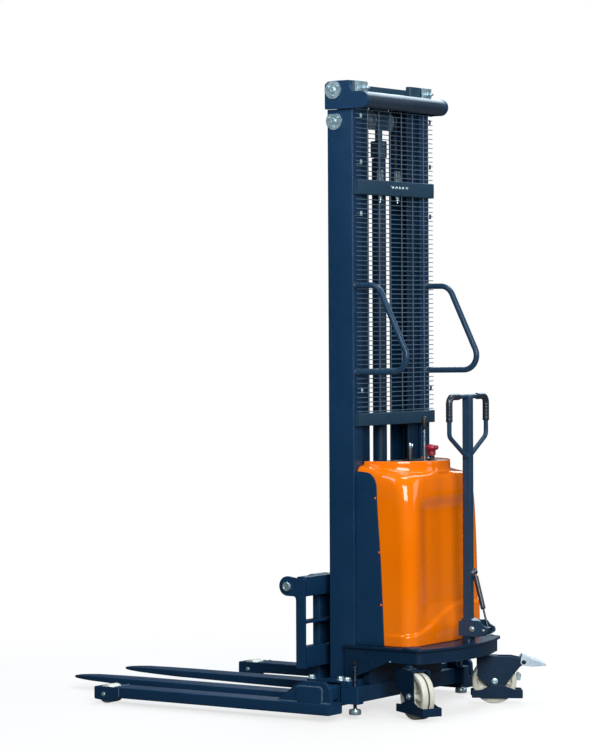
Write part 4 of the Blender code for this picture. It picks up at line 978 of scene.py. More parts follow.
def inner_mast():
    """Inner channels, cap plates, top plate and tube, and the tie at the foot."""
    for tag, side, _ in SIDES:
        # The inner channels take the darker navy copy as painted shade.
        new_piece("mast_inner_" + tag, "inner_mast", SHADED_NAVY, lambda bm: add_plate(
            bm, channel(side, 0.224, 0.134, -0.0975, -0.0135, 0.009, 0.004, 0.006), "xy",
            0.136, 2.300), ("inner_channel_" + tag,), 0.0006, 1)
        nose = arc(0.0485, 2.2598, 0.0312, -90, 90, 16)
        corner = [(0.012, 2.2910), (0.002, 2.300), (-0.0035, 2.333), (-0.074, 2.333),
                  (-0.097, 2.3310), (-0.1108, 2.320), (-0.1108, 2.2284)]
        cap = rounded([*nose, *corner], [0] * 17 + [0.010, 0.006, 0.002, 0.02, 0.012, 0.010,
                                                    0.006], 4)
        low, high = span(side, 0.2703, 0.2823)
        new_piece("cap_" + tag, "inner_mast", NAVY,
                  lambda bm: add_plate(bm, cap, "yz", low, high),
                  ("cap_plate_" + tag,), 0.0012)
        new_piece("disc_upper_" + tag, "inner_mast", ZINC, lambda bm: roller_cover(
            bm, (side * 0.2826, -0.0715, 2.2985), side), ("inner_disc_" + tag,), 0.0004, 1)

    def tie(bm):
        add_box(bm, (-0.270, -0.0132, 2.270), (0.270, 0.0005, 2.318))
        add_box(bm, (-0.270, -0.100, 2.3003), (0.270, -0.006, 2.312))
        add_plate(bm, rect(-0.232, -0.012, -0.118, 0.012, 0.009, 5), "xy", 2.286, 2.3322)
        for side in (1, -1):
            add_box(bm, (side * 0.250, -0.010, 2.284), (side * 0.2695, 0.0035, 2.3325))

    new_piece("top_plate", "inner_mast", SLATE, tie, ("top_cross_plate",), 0.0012)

    def tube(bm):
        add_turned(bm, [(28.5, 0), (30, 1.5), (30, 6), (30, 534), (30, 538.5), (28.5, 540)],
                   (-0.270, 0.0485, 2.2598), LEFT, 64)
        for side in (1, -1):
            add_box(bm, (side * 0.205, 0.0008, 2.272), (side * 0.225, 0.040, 2.286))

    new_piece("cap_tube", "inner_mast", GLOSS, tube, ("top_tube",), angle=30)

    def fittings(bm):
        for side in (1, -1):
            add_box(bm, (side * 0.190, 0.0165, 2.2835), (side * 0.257, 0.0195, 2.3315))
            add_box(bm, (side * 0.254, 0.0045, 2.2835), (side * 0.257, 0.0180, 2.3315))
            x, z = side * 0.222, 2.3065
            add_rod(bm, (x, 0.019, z), (x, 0.0480, z), 0.0045, 14)
            for y in (0.0195, 0.0330):
                add_nut(bm, (x, y, z), REAR, 8.8, 9.4, 7.2, 0.8)

    new_piece("stop_fittings", "inner_mast", ZINC, fittings, (), 0.0005, 1)
    new_piece("mast_tie", "inner_mast", SHADED_NAVY,
              lambda bm: add_box(bm, (-0.1337, -0.0975, 0.136), (0.1337, -0.0885, 0.166)),
              ("inner_tie",), 0.0015)


# ------------------------------------------------------------------ lift
def lift():
    """Lift cylinder, ram head with its pin, and the chain pulleys."""
    def barrel(bm):
        add_turned(bm, [(30, 130.3), (30, 150), (26.5, 153), (26.5, 2030), (26.5, 2030.5),
                        (26.4, 2056), (25, 2058), (19, 2058)], (0, RAM_Y, 0), UP, 48)

    new_piece("lift_barrel", "truck", SHADED_NAVY, barrel, ("lift_cylinder",), angle=45)

    def head(bm):
        add_turned(bm, [(17.5, 2050), (17.5, 2061.2)], (0, RAM_Y, 0), UP, 32)
        add_turned(bm, [(29, 2061.2), (30.5, 2063), (30.5, 2120), (29, 2123), (14, 2123.5),
                        (14, 2170)], (0, RAM_Y, 0), UP, 40)
        add_box(bm, (-0.0450, -0.072, 2.165), (0.0450, -0.040, 2.245))
        add_box(bm, (-0.020, -0.070, 2.240), (0.020, -0.042, 2.3000))

    new_piece("ram_head", "inner_mast", SLATE, head, ("ram",), 0.0015)

    def axle(bm):
        add_rod(bm, (-0.0775, RAM_Y, PULLEY_Z), (0.0775, RAM_Y, PULLEY_Z), 0.0100, 28)
        for side in (1, -1):
            add_turned(bm, [(15, 0), (15, 1.6), (12.5, 2), (12.5, 3.5)],
                       (side * 0.0735, RAM_Y, PULLEY_Z), (side, 0, 0), 24)

    new_piece("pulley_pin", "inner_mast", ZINC, axle, (), 0.0004, 1)
    for tag, side, word in SIDES:
        def sheave(bm):
            half = [(10.6, 12), (15, 12), (15.8, 9), (27, 8.5), (28.5, 11.5), (35.2, 11.8),
                    (36, 10.8), (35.5, 8.5), (30.2, 7.2)]
            add_wheel(bm, half, (side * PULLEY_X, RAM_Y, PULLEY_Z), LEFT, 48)
            for k in range(5):
                turn = math.tau * k / 5
                y = RAM_Y + 0.0212 * math.cos(turn)
                z = PULLEY_Z + 0.0212 * math.sin(turn)
                add_rod(bm, (side * PULLEY_X - 0.0098, y, z), (side * PULLEY_X + 0.0098, y, z),
                        0.0030, 12)

        new_piece("sheave_" + tag, "pulley_" + word, SHEAVE, sheave,
                  ("pulley_" + tag,), angle=35)


LINK = 0.0127


def link_plate(bm, centre, along, normal, length, half, thick):
    """One waisted chain plate lying in the plane of along and the third axis."""
    across = normal.cross(along)
    outline = []
    for sign in (1, -1):
        for k in range(5):
            turn = math.radians(-64 + 32 * k)
            outline.append((sign * (length / 2 + half * math.cos(turn)),
                            sign * half * math.sin(turn)))
        outline.append((0.0, sign * half * 0.74))
    add_loft(bm, [[centre + along * x + across * y + normal * (layer * thick)
                   for x, y in outline] for layer in (-0.5, 0.5)])


def chain_run(bm, points):
    """Leaf chain through pin points that are one pitch apart."""
    normal = Vector(LEFT)
    for i, (a, b) in enumerate(zip(points, points[1:])):
        along = (b - a).normalized()
        offsets = (-0.0057, -0.0019, 0.0019, 0.0057) if i % 2 else (-0.0038, 0.0, 0.0038)
        for offset in offsets:
            link_plate(bm, (a + b) / 2 + normal * offset, along, normal, (b - a).length, 0.0029,
                       0.0017)
    for p in points:
        add_rod(bm, p - normal * 0.0070, p + normal * 0.0070, 0.0018, 8)


def chains():
    """Leaf chains: rear strands to the fixed bracket, front ones to the carriage."""
    rear_y, front_y, top = -0.0198, -0.0922, PULLEY_Z
    radius, middle = (rear_y - front_y) / 2, (rear_y + front_y) / 2
    for tag, side, _ in SIDES:
        x = side * PULLEY_X

        def strand(name, body, y, count, end_z, node):
            """Links down from the pulley, with a bar from the last link to the anchor."""
            points = [Vector((x, y, top - LINK * i)) for i in range(count + 1)]
            last = points[-1].z

            def build(bm):
                chain_run(bm, points)
                add_box(bm, (x - 0.0055, y - 0.0024, end_z), (x + 0.0055, y + 0.0024,
                                                              last + 0.002))

            return new_piece(name + tag, body, CHAIN, build, (node + tag,),
                             angle=30)

        piece = strand("chain_back_", None, rear_y, round((top - 1.960) / LINK), 1.9443,
                       "chain_rear_")
        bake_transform(piece)
        piece = strand("chain_lift_", "inner_mast", front_y, int((top - 0.452) / LINK), 0.4343,
                       "chain_front_")
        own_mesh(piece)
        steps = round(math.pi * radius / LINK)
        over = [Vector((x, middle + radius * math.cos(math.pi * i / steps),
                        top + radius * math.sin(math.pi * i / steps))) for i in range(steps + 1)]
        new_piece("chain_over_" + tag, "inner_mast", CHAIN,
                  lambda bm: chain_run(bm, over), angle=30)


# ------------------------------------------------------------------ carriage and forks
def carriage():
    """Carriage frame with rollers, welds, fork shaft and chain anchors."""
    ear = arc(-0.2265, 0.4695, 0.0365, 92, 268, 20)
    outline = [*rounded([(-0.2275, 0.4330), (-0.1885, 0.4330), (-0.1885, 0.1675),
                         (-0.150, 0.1675), (-0.150, 0.5060)], [0, 0.014, 0.004, 0.004, 0.006],
                        4), (-0.2260, 0.5060), *ear]

    def frame_body(bm):
        for side in (1, -1):
            add_plate(bm, outline, "yz", side * 0.362, side * 0.374)
            add_box(bm, (side * 0.119, -0.160, 0.172), (side * 0.131, -0.028, 0.500))
        for low, high, radius in ((0.433, 0.506, 0.005), (0.333, 0.344, 0.003),
                                  (0.169, 0.248, 0.005)):
            add_plate(bm, rect(-0.1885, low, -0.150, high, radius), "yz", -0.366, 0.366)
        add_box(bm, (-0.123, -0.112, 0.400), (0.123, -0.0875, 0.434))

    new_piece("carriage_body", "carriage", NAVY, frame_body, ("carriage_frame",),
              0.0010)

    def rollers(bm):
        for side in (1, -1):
            for z in (0.215, 0.455):
                add_turned(bm, [(28.5, 0), (31, 2), (31, 18), (28.5, 20), (18, 20), (16, 19)],
                           (side * 0.1880, -0.0555, z), (side, 0, 0), 36)
                add_rod(bm, (side * 0.125, -0.0555, z), (side * 0.190, -0.0555, z), 0.014, 24)

    new_piece("mast_rollers", "carriage", CHAIN, rollers, (), 0.0004, 1)

    def welds(bm):
        for side in (1, -1):
            for z in (0.248, 0.169, 0.344, 0.333):
                bead(bm, [(side * 0.3615, -0.1870, z), (side * 0.3615, -0.1515, z)], 0.0024,
                     seed=z * 9)

    new_piece("carriage_welds", "carriage", NAVY, welds, (), angle=60)

    def shaft(bm):
        add_rod(bm, (-0.375, *FORK_SHAFT), (0.375, *FORK_SHAFT), 0.017, 40)
        for side in (1, -1):
            add_turned(bm, [(17.2, 0), (17.2, 7.4), (15.8, 9.4), (10.5, 9.8), (9.5, 8.4)],
                       (side * 0.3743, *FORK_SHAFT), (side, 0, 0), 36)

    new_piece("shaft", "carriage", ZINC, shaft, ("fork_shaft",), 0.0004, 1)

    def anchors(bm):
        for side in (1, -1):
            x = side * 0.060
            add_rod(bm, (x, -0.0965, 0.3780), (x, -0.0965, 0.4345), 0.0050, 14)
            for z in (0.3830, 0.3915):
                add_nut(bm, (x, -0.0965, z), UP, 9.5, 10, 8)

    new_piece("chain_anchors", "carriage", ZINC, anchors, (), 0.0003, 1)


def forks():
    """Forks forged in one piece: an upright, a rounded heel and a tapering blade."""
    heel_y, heel_z, heel_r = -0.2385, 0.068, 0.0325
    blade = ((-0.245, 0.020, 0.052, 0.050), (-0.600, 0.020, 0.052, 0.050),
             (-1.020, 0.026, 0.052, 0.050), (-1.090, 0.0266, 0.052, 0.050),
             (-1.200, 0.0292, 0.0518, 0.0448), (-1.300, 0.0320, 0.0512, 0.0375),
             (-1.345, 0.0345, 0.0490, 0.0325), (-1.370, 0.0362, 0.0475, 0.0265),
             (-1.384, 0.0376, 0.0464, 0.0185), (-1.390, 0.0395, 0.0448, 0.0100))

    def section(half, thick, radius=0.005):
        return rect(-half, -thick, half, thick, radius, 3)

    for tag, side, word in SIDES:
        x = side * 0.164
        rings = [[(x + a, -0.206 - b, z)
                  for a, b in section(0.050 if z < 0.439 else 0.0475, 0.0165)]
                 for z in (0.4400, 0.4380, 0.3000, 0.1500, 0.0720)]
        for k in range(1, 8):
            turn = math.radians(90 * k / 8)
            rings.append([(x + a, heel_y + (heel_r - b) * math.cos(turn),
                           heel_z - (heel_r - b) * math.sin(turn))
                          for a, b in section(0.050, 0.0155)])
        for y, low, high, half in blade:
            thick = (high - low) / 2
            rings.append([(x + a, y, (low + high) / 2 + b)
                          for a, b in section(half, thick, min(0.005, thick * 0.9))])

        def shape(bm):
            add_loft(bm, rings)
            add_turned(bm, [(33, 0), (34.5, 1.5), (34.5, 95.5), (33, 97)],
                       (min(side * 0.1155, side * 0.2125), *FORK_SHAFT), LEFT, 40)

        new_piece("fork_arm_" + tag, "fork_" + word, NAVY, shape,
                  ("fork_" + tag,), angle=32)


# ------------------------------------------------------------------ legs
def legs():
    """Straddle legs with their welds and load rollers."""
    tube_shape = rect(-0.094, 0.064, 0.012, 0.122, 0.012, 6)
    for tag, side, word in SIDES:
        def beam(bm):
            low, high = span(side, 0.427, 0.522)
            add_plate(bm, rect(low, 0.0235, high, 0.0645, 0.006, 5), "xz", -0.925, 0.0495)
            cheek = rounded([(-0.900, 0.0245), (-0.900, 0.0635), (-1.019, 0.0635),
                             (-1.019, 0.0155), (-0.965, 0.0105), (-0.935, 0.0105)],
                            [0.002, 0.002, 0.006, 0.008, 0.02, 0.02], 4)
            for a, b in ((0.514, 0.523), (0.426, 0.435)):
                add_plate(bm, cheek, "yz", side * a, side * b)
            add_box(bm, (side * 0.4285, -1.0185, 0.030), (side * 0.5205, -1.013, 0.063))
            add_plate(bm, tube_shape, "yz", side * 0.050, side * 0.512)
            bracket = rounded([(-0.186, 0.060), (-0.182, 0.068), (-0.100, 0.130),
                               (-0.062, 0.142), (0.022, 0.142), (0.0445, 0.118),
                               (0.0495, 0.060)],
                              [0, 0.003, 0.020, 0.020, 0.024, 0.012, 0], 5)
            add_plate(bm, bracket, "yz", side * 0.484, side * 0.504)

        new_piece("leg_beam_" + tag, "leg_" + word, NAVY, beam, ("leg_" + tag,),
                  0.0010)

        def welds(bm):
            bead(bm, [(side * 0.5050, y, z) for y, z in rect(-0.0955, 0.0665, 0.0135, 0.1235,
                                                             0.013)], 0.0030, True, side * 2.0)
            bead(bm, [(side * 0.5052, -0.182, 0.0655), (side * 0.5052, -0.100, 0.0655),
                      (side * 0.5052, 0.048, 0.0655)], 0.0030, seed=4.0)
            bead(bm, [(side * 0.4828, -0.180, 0.0655), (side * 0.4828, 0.046, 0.0655)], 0.0030,
                 seed=5.0)
            bead(bm, [(side * 0.5235, -0.9010, 0.062), (side * 0.5235, -0.9010, 0.028)], 0.0020,
                 seed=3.0)
            bead(bm, [(side * 0.520, -0.9235, 0.0650), (side * 0.430, -0.9235, 0.0650)], 0.0018,
                 seed=6.0)

        new_piece("leg_welds_" + tag, "leg_" + word, WELD, welds, (), angle=60)

        def axle(bm):
            add_rod(bm, (side * 0.423, *LOAD_AXLE), (side * 0.5250, *LOAD_AXLE), 0.0080,
                    28)
            for near, way in ((0.5230, side), (0.4260, -side)):
                add_turned(bm, [(9.2, 0), (9.2, 1.2), (7.4, 1.6), (7.4, 4), (6.2, 4.8)],
                           (side * near, *LOAD_AXLE), (way, 0, 0), 24)

        new_piece("roller_pin_" + tag, "leg_" + word, ZINC, axle, (), 0.0003, 1)

        def roller(bm):
            half = [(8.6, 34.5), (15, 34.5), (16, 32.5), (25, 32.5), (26.2, 34.5), (32.5, 34.5),
                    (34.4, 33.5), (35, 31.5)]
            add_wheel(bm, half, (side * 0.4745, *LOAD_AXLE), LEFT, 56)

        new_piece("roller_" + tag, "roller_" + word, IVORY, roller,
                  ("load_roller_" + tag,), angle=30)


def sleeve():
    """Cross housing that the legs slide in, clamp bolts and jack feet."""
    tube_way = list(reversed(rect(-0.095, 0.063, 0.013, 0.123, 0.013, 6)))

    def housing(bm):
        add_plate(bm, rect(-0.106, 0.045, 0.024, 0.130, 0.004), "yz", -0.395, 0.395, 0,
                  (tube_way,))
        add_box(bm, (-0.358, 0.018, 0.052), (0.358, 0.058, 0.110))
        for side in (1, -1):
            low, high = span(side, 0.352, 0.395)
            add_plate(bm, rect(low, -0.128, high, 0.062, 0.004), "xy", 0.1235, 0.136)
            add_box(bm, (low, -0.1275, 0.112), (high, -0.1055, 0.125))
            add_box(bm, (low, 0.0195, 0.112), (high, 0.0615, 0.125))
            add_plate(bm, rect(low, 0.0195, high, 0.0955, [0, 0, 0.006, 0.006]), "xy", 0.0535,
                      0.1180)

    new_piece("cross_housing", "truck", NAVY, housing, ("leg_sleeve",), 0.0012)

    def bolts(bm):
        for side in (1, -1):
            for x, y in ((0.376, -0.117), (0.376, 0.040), (0.366, 0.004)):
                add_bolt(bm, (side * x, y, 0.1358), UP, 12.5, 12, 16.5)
                add_rod(bm, (side * x, y, 0.142), (side * x, y, 0.1500), 0.0050, 16)

    new_piece("clamp_bolts", "truck", ZINC, bolts, (), 0.0005, 1)
    for tag, side, word in SIDES:
        x, y = side * 0.373, 0.070

        def screw(bm):
            threads = [(6.2, 35)]
            for i in range(81):
                threads += [(7.2, 36 + 2 * i), (6.3, 37 + 2 * i)]
            threads.append((6.6, 198.5))
            add_turned(bm, threads, (x, y, 0), UP, 20)
            add_turned(bm, [(10, 198), (11, 199), (11, 207.5), (10, 208.5), (6.6, 208.5),
                            (6.6, 212.5)], (x, y, 0), UP, 6)

        new_piece("jack_screw_" + tag, "jack_" + word, DARK_ROD, screw,
                  ("jack_foot_" + tag,), angle=25)

        def foot(bm):
            add_turned(bm, [(18.5, 14.5), (21.5, 15.5), (22.5, 18), (22.5, 30), (21.5, 32.5),
                            (18, 33.8), (11.5, 34.2), (11, 36), (7.2, 36.2)], (x, y, 0), UP, 40)

        new_piece("jack_pad_" + tag, "jack_" + word, ZINC, foot, (), angle=40)


# ------------------------------------------------------------------ casters
def caster_frame(side, heading):
    """From a caster's own axes, X along its heading and Y across, to the truck's."""
    turn = math.radians(heading)
    along = Vector((math.sin(turn), math.cos(turn), 0))
    across = Vector((-math.cos(turn), math.sin(turn), 0))
    return Matrix(((along.x, across.x, 0, side * 0.250), (along.y, across.y, 0, 0.230),
                   (0, 0, 1, 0), (0, 0, 0, 1)))


def caster(tag, side, word, heading, braked):
    """Swivel caster; the braked one also has a brake shoe and a pedal."""
    place = caster_frame(side, heading)

    def local(name, body, material, build, replaces=(), bevel=0.0, segments=2, angle=38):
        def moved(bm):
            build(bm)
            bmesh.ops.transform(bm, matrix=place, verts=bm.verts)
        return new_piece(name, body, material, moved, replaces, bevel, segments, angle)

    if braked:
        cheek = rounded([(-0.012, 0.1800), (0.118, 0.1785), (0.168, 0.1680), (0.172, 0.154),
                         (0.148, 0.1400), (0.085, 0.062), (0.036, 0.062), (-0.012, 0.100)],
                        [0.004, 0.02, 0.008, 0.010, 0.02, 0.006, 0.006, 0.03], 5)
    else:
        cheek = rounded([(-0.0455, 0.1795), (0.084, 0.1795), (0.084, 0.060), (0.030, 0.060),
                         (0.014, 0.085), (-0.0455, 0.115)],
                        [0.004, 0.006, 0.006, 0.006, 0.02, 0.014], 5)
    guard = rounded([(-0.035, 0.024), (0.158, 0.0205), (0.158, 0.052), (0.128, 0.054),
                     (0.085, 0.070), (0.036, 0.070), (0.000, 0.054), (-0.035, 0.052)],
                    [0.004, 0.004, 0.004, 0.02, 0.02, 0.02, 0.02, 0.004], 4)

    def fork(bm):
        add_plate(bm, rect(-0.0455, -0.0358, 0.0660, 0.0358, 0.005), "xy", 0.1735, 0.1805)
        for sign in (1, -1):
            add_plate(bm, cheek, "xz", sign * 0.0310, sign * 0.0360)
            add_plate(bm, guard, "xz", sign * 0.0352, sign * 0.0400)
        add_box(bm, (0.1522, -0.0395, 0.0215), (0.1578, 0.0395, 0.0515))

    # The caster's frame under the base takes the darker navy copy as painted shade.
    local("caster_frame_" + tag, "caster_" + word, SHADED_NAVY, fork,
          ("caster_fork_" + tag,), 0.0014)

    def metalwork(bm):
        add_turned(bm, [(12, 170), (12, 180.6), (26.2, 180.6), (26.8, 181.6), (25, 183.6),
                        (12, 183.7), (12, 238)], (0, 0, 0), UP, 32)
        for sign in (1, -1):
            add_turned(bm, [(12.5, 0), (12.5, 1.4), (9.8, 1.8), (9.8, 6.2), (8.6, 7.4), (4.6, 7.8),
                            (4, 6.6)], (TRAIL, sign * 0.0358, WHEEL_Z), (0, sign, 0), 24)
        add_rod(bm, (TRAIL, -0.036, WHEEL_Z), (TRAIL, 0.036, WHEEL_Z), 0.0080, 20)
        if braked:
            add_rod(bm, (0.162, -0.0390, 0.158), (0.162, 0.0390, 0.158), 0.0058, 20)
            # brake shoe behind the wheel
            add_plate(bm, rounded([(0.1320, 0.0880), (0.1500, 0.0860), (0.1540, 0.1080),
                                   (0.1400, 0.1180)], 0.004, 4), "xz", -0.0190, 0.0190)

    local("caster_metal_" + tag, "caster_" + word, ZINC, metalwork, (), 0.0005, 1)

    def wheel(bm):
        half = [(9.8, 27.2), (18.8, 27.2), (20.5, 25.8), (21.5, 12), (23, 9.5), (60, 9.5),
                (63, 12), (65, 22.5), (66.8, 24.4), (70, 25), (80, 25), (82.6, 24.2), (84.2, 21.5),
                (84.9, 12), (85, 3.6)]
        add_wheel(bm, half, (TRAIL, 0, WHEEL_Z), REAR, 72)
        for k in range(8):
            turn = Matrix.Rotation(math.tau * k / 8 + 0.2, 4, "Y")
            for sign in (1, -1):
                y0, y1 = span(sign, 0.0090, 0.0205)
                made = add_box(bm, (0.0195, y0, -0.0030), (0.0640, y1, 0.0030))
                bmesh.ops.transform(bm, matrix=Matrix.Translation((TRAIL, 0, WHEEL_Z)) @ turn,
                                    verts=made)
        for face in bm.faces:
            centre = face.calc_center_median()
            away = math.hypot(centre.x - TRAIL, centre.z - WHEEL_Z)
            if away > 0.0838 and abs(centre.y) < 0.0060:
                face.material_index = 1

    local("wheel_" + tag, "wheel_" + word, [IVORY, TREAD], wheel,
          ("caster_wheel_" + tag,), angle=32)
    if not braked:
        return

    def pedal(bm):
        boss = arc(0.162, 0.158, 0.0130, 150, 262, 10)
        side_shape = rounded([*boss, (0.190, 0.1402), (0.246, 0.1437), (0.246, 0.1488),
                              (0.158, 0.1840), (0.1515, 0.1780)],
                             [0] * len(boss) + [0.015, 0.002, 0.001, 0.003, 0.004], 4)
        for sign in (1, -1):
            add_plate(bm, side_shape, "xz", sign * 0.0366, sign * 0.0394)
            add_turned(bm, [(8.5, 0), (8.5, 2.2), (6, 3), (6, 5), (4.8, 5.8)],
                       (0.162, sign * 0.0392, 0.158), (0, sign, 0), 24, 1)
        start, end = Vector((0.1575, 0, 0.1842)), Vector((0.2458, 0, 0.1489))
        length = (end - start).length
        holes = []
        for row in range(4):
            for column in range(4):
                holes.append(list(reversed(circle(0.040 + 0.0125 * row,
                                                  -0.0195 + 0.0130 * column, 0.0042, 12))))
        made = add_plate(bm, rect(0, -0.0393, length, 0.0393), "xy", -0.0026, 0.0, 0, holes)
        # The sheet under the holes takes the darker navy copy, painted shade seen through them.
        made += add_plate(bm, rect(0.034, -0.030, 0.084, 0.030), "xy", -0.0042, -0.0028, 1)
        tilt = math.atan2(start.z - end.z, end.x - start.x)
        matrix = Matrix.Translation(start) @ Matrix.Rotation(tilt, 4, "Y")
        bmesh.ops.transform(bm, matrix=matrix, verts=made)

    local("pedal", "brake_pedal", [PEDAL, SHADED_NAVY], pedal, ("brake_pedal",), 0.0006, 1)


# ------------------------------------------------------------------ tiller
def tiller():
    """Yoke on the neck post, shaft, handle loop and grips."""
    def yoke(bm):
        add_turned(bm, [(24, 0), (24.2, 0.6), (23.5, 1.2), (23.5, 13.7)], (0, NECK_Y, 0.2763), UP,
                   40)
        add_plate(bm, rect(-0.029, 0.3048, 0.029, 0.3912, 0.004), "xy", 0.2850, 0.2915)
        cheek = rounded([(0.304, 0.2845), (0.380, 0.2845), (0.412, 0.294), (0.428, 0.304),
                         (0.425, 0.320), (0.404, 0.330), (0.392, 0.3445), (0.304, 0.340)],
                        [0.004, 0.02, 0.02, 0.008, 0.008, 0.012, 0.010, 0.008], 5)
        for sign in (1, -1):
            add_plate(bm, cheek, "yz", sign * 0.0250, sign * 0.0305)

    new_piece("yoke", "tiller_swivel", TUBE, yoke, ("tiller_yoke",), 0.0010)

    def pins(bm):
        add_rod(bm, (-0.0305, 0.361, 0.312), (0.0305, 0.361, 0.312), 0.0070, 20)
        for sign in (1, -1):
            add_bolt(bm, (sign * 0.0303, 0.361, 0.312), (sign, 0, 0), 8.5, 5.2, 11.2)
            add_bolt(bm, (sign * 0.0303, 0.410, 0.309), (sign, 0, 0), 4.6, 3.4, 6.2)

    new_piece("yoke_bolts", "tiller_swivel", ZINC, pins, (), 0.0004, 1)

    def tube(bm):
        add_plate(bm, rect(-0.013, 0.312, 0.013, 0.346, 0.0042, 5), "xy", 0.3470, 1.1700)
        add_plate(bm, rounded([(0.3112, 0.3005), (0.3735, 0.3005), (0.3735, 0.3360),
                               (0.3460, 0.3495), (0.3112, 0.3495)],
                              [0.003, 0.008, 0.010, 0.003, 0.003], 4), "yz", -0.0218, 0.0218)
        for sign in (1, -1):
            add_plate(bm, rounded([(0.340, 0.5080), (0.3560, 0.5080), (0.3650, 0.5200),
                                   (0.3560, 0.5320), (0.340, 0.5320)], [0, 0.004, 0.010, 0.004, 0],
                                  4), "yz", sign * 0.0075, sign * 0.0115)
        add_plate(bm, circle(0.0, NECK_Y, 0.0125, 28), "xy", 1.1665, 1.172)

    new_piece("tiller_shaft", "tiller", TUBE, tube, ("tiller_tube",), 0.0008)
    height = 1.168

    def loop(bm):
        points = [(-0.010, NECK_Y, 0.9450), (-0.131, NECK_Y, 1.022), (-0.131, NECK_Y, height),
                  (0.131, NECK_Y, height), (0.131, NECK_Y, 1.022), (0.010, NECK_Y, 0.9450)]
        add_tube(bm, smooth_path(points, 0.026, 12), 0.0085, 20)
        for sign in (1, -1):
            bead(bm, [(sign * 0.0140, NECK_Y + 0.010 * math.cos(math.tau * i / 14),
                       0.9480 + 0.011 * math.sin(math.tau * i / 14)) for i in range(14)], 0.0018,
                 True, sign + 2.0)

    new_piece("tiller_loop", "tiller", TUBE, loop, (), angle=50)
    for tag, side, _ in SIDES:
        points = [(side * 0.064, NECK_Y, height), (side * 0.131, NECK_Y, height),
                  (side * 0.131, NECK_Y, 1.076)]
        path = smooth_path(points, 0.026, 14)
        fine = divided(path, 0.004)
        radii = []
        for i in range(len(fine)):
            end = min(i, len(fine) - 1 - i)
            size = 0.0125
            if end == 0:
                size = 0.0118
            elif end > 3 and i % 3 == 0:
                size = 0.0119
            radii.append(size)

        new_piece("grip_" + tag, "tiller", RUBBER,
                  lambda bm: add_tube(bm, fine, radii, 24), ("tiller_grip_" + tag,), angle=70)


def gas_spring():
    """Gas spring between the tiller and the yoke."""
    top, low = Vector((0, 0.3560, 0.520)), Vector((0, 0.4125, 0.312))
    down = (low - top).normalized()

    def barrel(bm):
        add_turned(bm, [(7, 14), (9.4, 16.5), (9.4, 22), (9.4, 132), (9.4, 137), (8, 140),
                        (5, 140.4)], top, down, 32)

    new_piece("gas_barrel", "gas_cylinder", RUBBER, barrel, ("gas_cylinder",),
              angle=30)

    def eyes(bm):
        add_rod(bm, top + down * 0.002, top + down * 0.018, 0.0045, 16)
        add_turned(bm, [(7, 0), (8.5, 1.5), (8.5, 11.5), (7, 13)], top - Vector((0.0065, 0, 0)),
                   LEFT, 28)

    new_piece("gas_top_eye", "gas_cylinder", DARK_ROD, eyes, (), 0.0003, 1)

    def top_pin(bm):
        add_rod(bm, top - Vector((0.0115, 0, 0)), top + Vector((0.0115, 0, 0)), 0.0040, 16)
        for sign in (1, -1):
            add_bolt(bm, top + Vector((sign * 0.0112, 0, 0)), (sign, 0, 0), 6.2, 4.2)

    new_piece("gas_pin", "tiller", ZINC, top_pin, (), 0.0003, 1)

    def rod(bm):
        add_rod(bm, top + down * 0.118, low - down * 0.006, 0.0039, 24)
        add_turned(bm, [(6.8, 0), (8, 1.5), (8, 18.5), (6.8, 20)], low - Vector((0.0100, 0, 0)),
                   LEFT, 28)
        add_rod(bm, low - Vector((0.0235, 0, 0)), low + Vector((0.0235, 0, 0)), 0.0050, 16)

    new_piece("gas_piston", "gas_rod", DARK_ROD, rod, ("gas_rod",), 0.0003, 1)


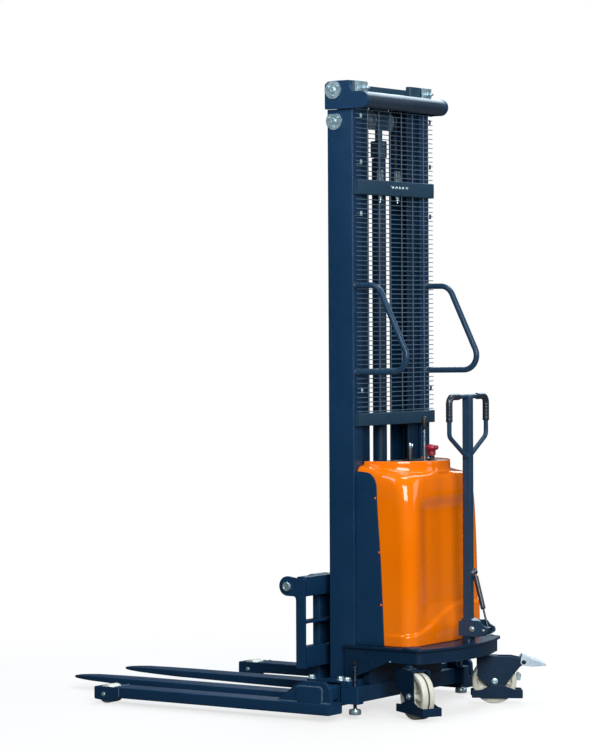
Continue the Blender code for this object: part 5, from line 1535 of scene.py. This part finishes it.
# ------------------------------------------------------------------ scene
def lights():
    """Six area lights that the camera doesn't see, and a white world."""
    def area(name, place, target, size, size_y, power, colour=(1, 1, 1)):
        light = bpy.data.lights.new(name, "AREA")
        light.shape = "RECTANGLE"
        light.size = size
        light.size_y = size_y
        light.energy = power
        light.color = colour
        obj = bpy.data.objects.new(name, light)
        place = Vector(place) + Vector((0, SHIFT_Y, 0))
        target = Vector(target) + Vector((0, SHIFT_Y, 0))
        obj.location = place
        obj.rotation_euler = (target - place).to_track_quat("-Z", "Y").to_euler()
        obj.visible_camera = False
        bpy.context.scene.collection.objects.link(obj)

    # key, near side, overhead, the cover's crease, long far highlights and a wide far fill
    area("operator_side", (4.4, 4.3, 3.2), (0, 0, 1.1), 2.6, 3.2, 365)
    area("near_side", (1.95, -0.3, 3.0), (0.2, 0.0, 1.5), 0.9, 1.2, 16, (0.84, 0.93, 1.0))
    area("overhead", (-1.3, 0.6, 5.2), (0, 0, 0.5), 1.5, 1.5, 52, (0.84, 0.93, 1.0))
    area("crease", (0.4, 1.2, 5.2), (0, 0.3, 0.5), 1.0, 1.0, 40)
    area("far_overhead", (-3.7, -1.0, 4.3), (0, 0.1, 1.5), 4.0, 4.0, 250, (0.74, 0.89, 1.0))
    area("far_fill", (-2.0, 5.2, 2.6), (0, 0.2, 1.0), 3.0, 3.0, 70)
    world = bpy.data.worlds.new("studio")
    world.use_nodes = True
    tree = world.node_tree
    dim = tree.nodes["Background"]
    dim.inputs["Color"].default_value = (0.86, 0.93, 1.0, 1.0)
    dim.inputs["Strength"].default_value = 0.09
    bright = tree.nodes.new("ShaderNodeBackground")
    bright.inputs["Color"].default_value = (1.0, 1.0, 1.0, 1.0)
    bright.inputs["Strength"].default_value = 1.0
    path = tree.nodes.new("ShaderNodeLightPath")
    mixed = tree.nodes.new("ShaderNodeMixShader")
    tree.links.new(path.outputs["Is Camera Ray"], mixed.inputs["Fac"])
    tree.links.new(dim.outputs["Background"], mixed.inputs[1])
    tree.links.new(bright.outputs["Background"], mixed.inputs[2])
    tree.links.new(mixed.outputs["Shader"], tree.nodes["World Output"].inputs["Surface"])
    bpy.context.scene.world = world


def floor():
    """White sweep: matt paper near the truck that runs into an even white further out."""
    bm = bmesh.new()
    bmesh.ops.create_grid(bm, x_segments=2, y_segments=2, size=60.0)
    mesh = bpy.data.meshes.new("floor")
    bm.to_mesh(mesh)
    bm.free()
    obj = bpy.data.objects.new("floor", mesh)
    obj.location = (0, 0, -0.0006)
    bpy.context.scene.collection.objects.link(obj)
    n = Nodes("floor_paper")
    seen = n.add("LightPath").outputs["Is Camera Ray"]
    paper = n.ramp(n.noise(1.5), 0.3, (0.86, 0.86, 0.86), 0.7, (0.90, 0.90, 0.90))
    n.set(Base_Color=n.mix(seen, (0.13, 0.13, 0.13), paper), Roughness=0.9,
          Normal=n.bump(n.noise(160.0), 0.0004, 0.15), Specular_IOR_Level=0.05)
    away = n.add("VectorMath")
    away.operation = "LENGTH"
    n.plug(n.place, away.inputs[0])
    share = n.add("Math")
    share.operation = "MULTIPLY"
    n.plug(n.span(away.outputs["Value"], 0.70, 1.0, 0.6, 2.4), share.inputs[0])
    n.plug(seen, share.inputs[1])
    glow = n.add("Emission", Strength=1.0)
    mixed = n.add("MixShader", Fac=share.outputs["Value"])
    n.plug(n.shader.outputs["BSDF"], mixed.inputs[1])
    n.plug(glow.outputs["Emission"], mixed.inputs[2])
    n.plug(mixed.outputs["Shader"], n.tree.nodes["Material Output"].inputs["Surface"])
    mesh.materials.append(n.material)


def corners(bounds):
    return [[float(value) for value in corner] for corner in bounds]


add_camera()
lights()
floor()
paint_nodes()
wire_guard()
cover_shell()
side_panels()
dashboard()
stop_button()
lever()
base_plate()
outer_mast()
brackets()
inner_mast()
lift()
chains()
carriage()
forks()
legs()
sleeve()
caster("L", 1, "left", 27.7, False)
caster("R", -1, "right", -34.3, True)
tiller()
gas_spring()
bpy.context.scene.view_settings.view_transform = "Standard"
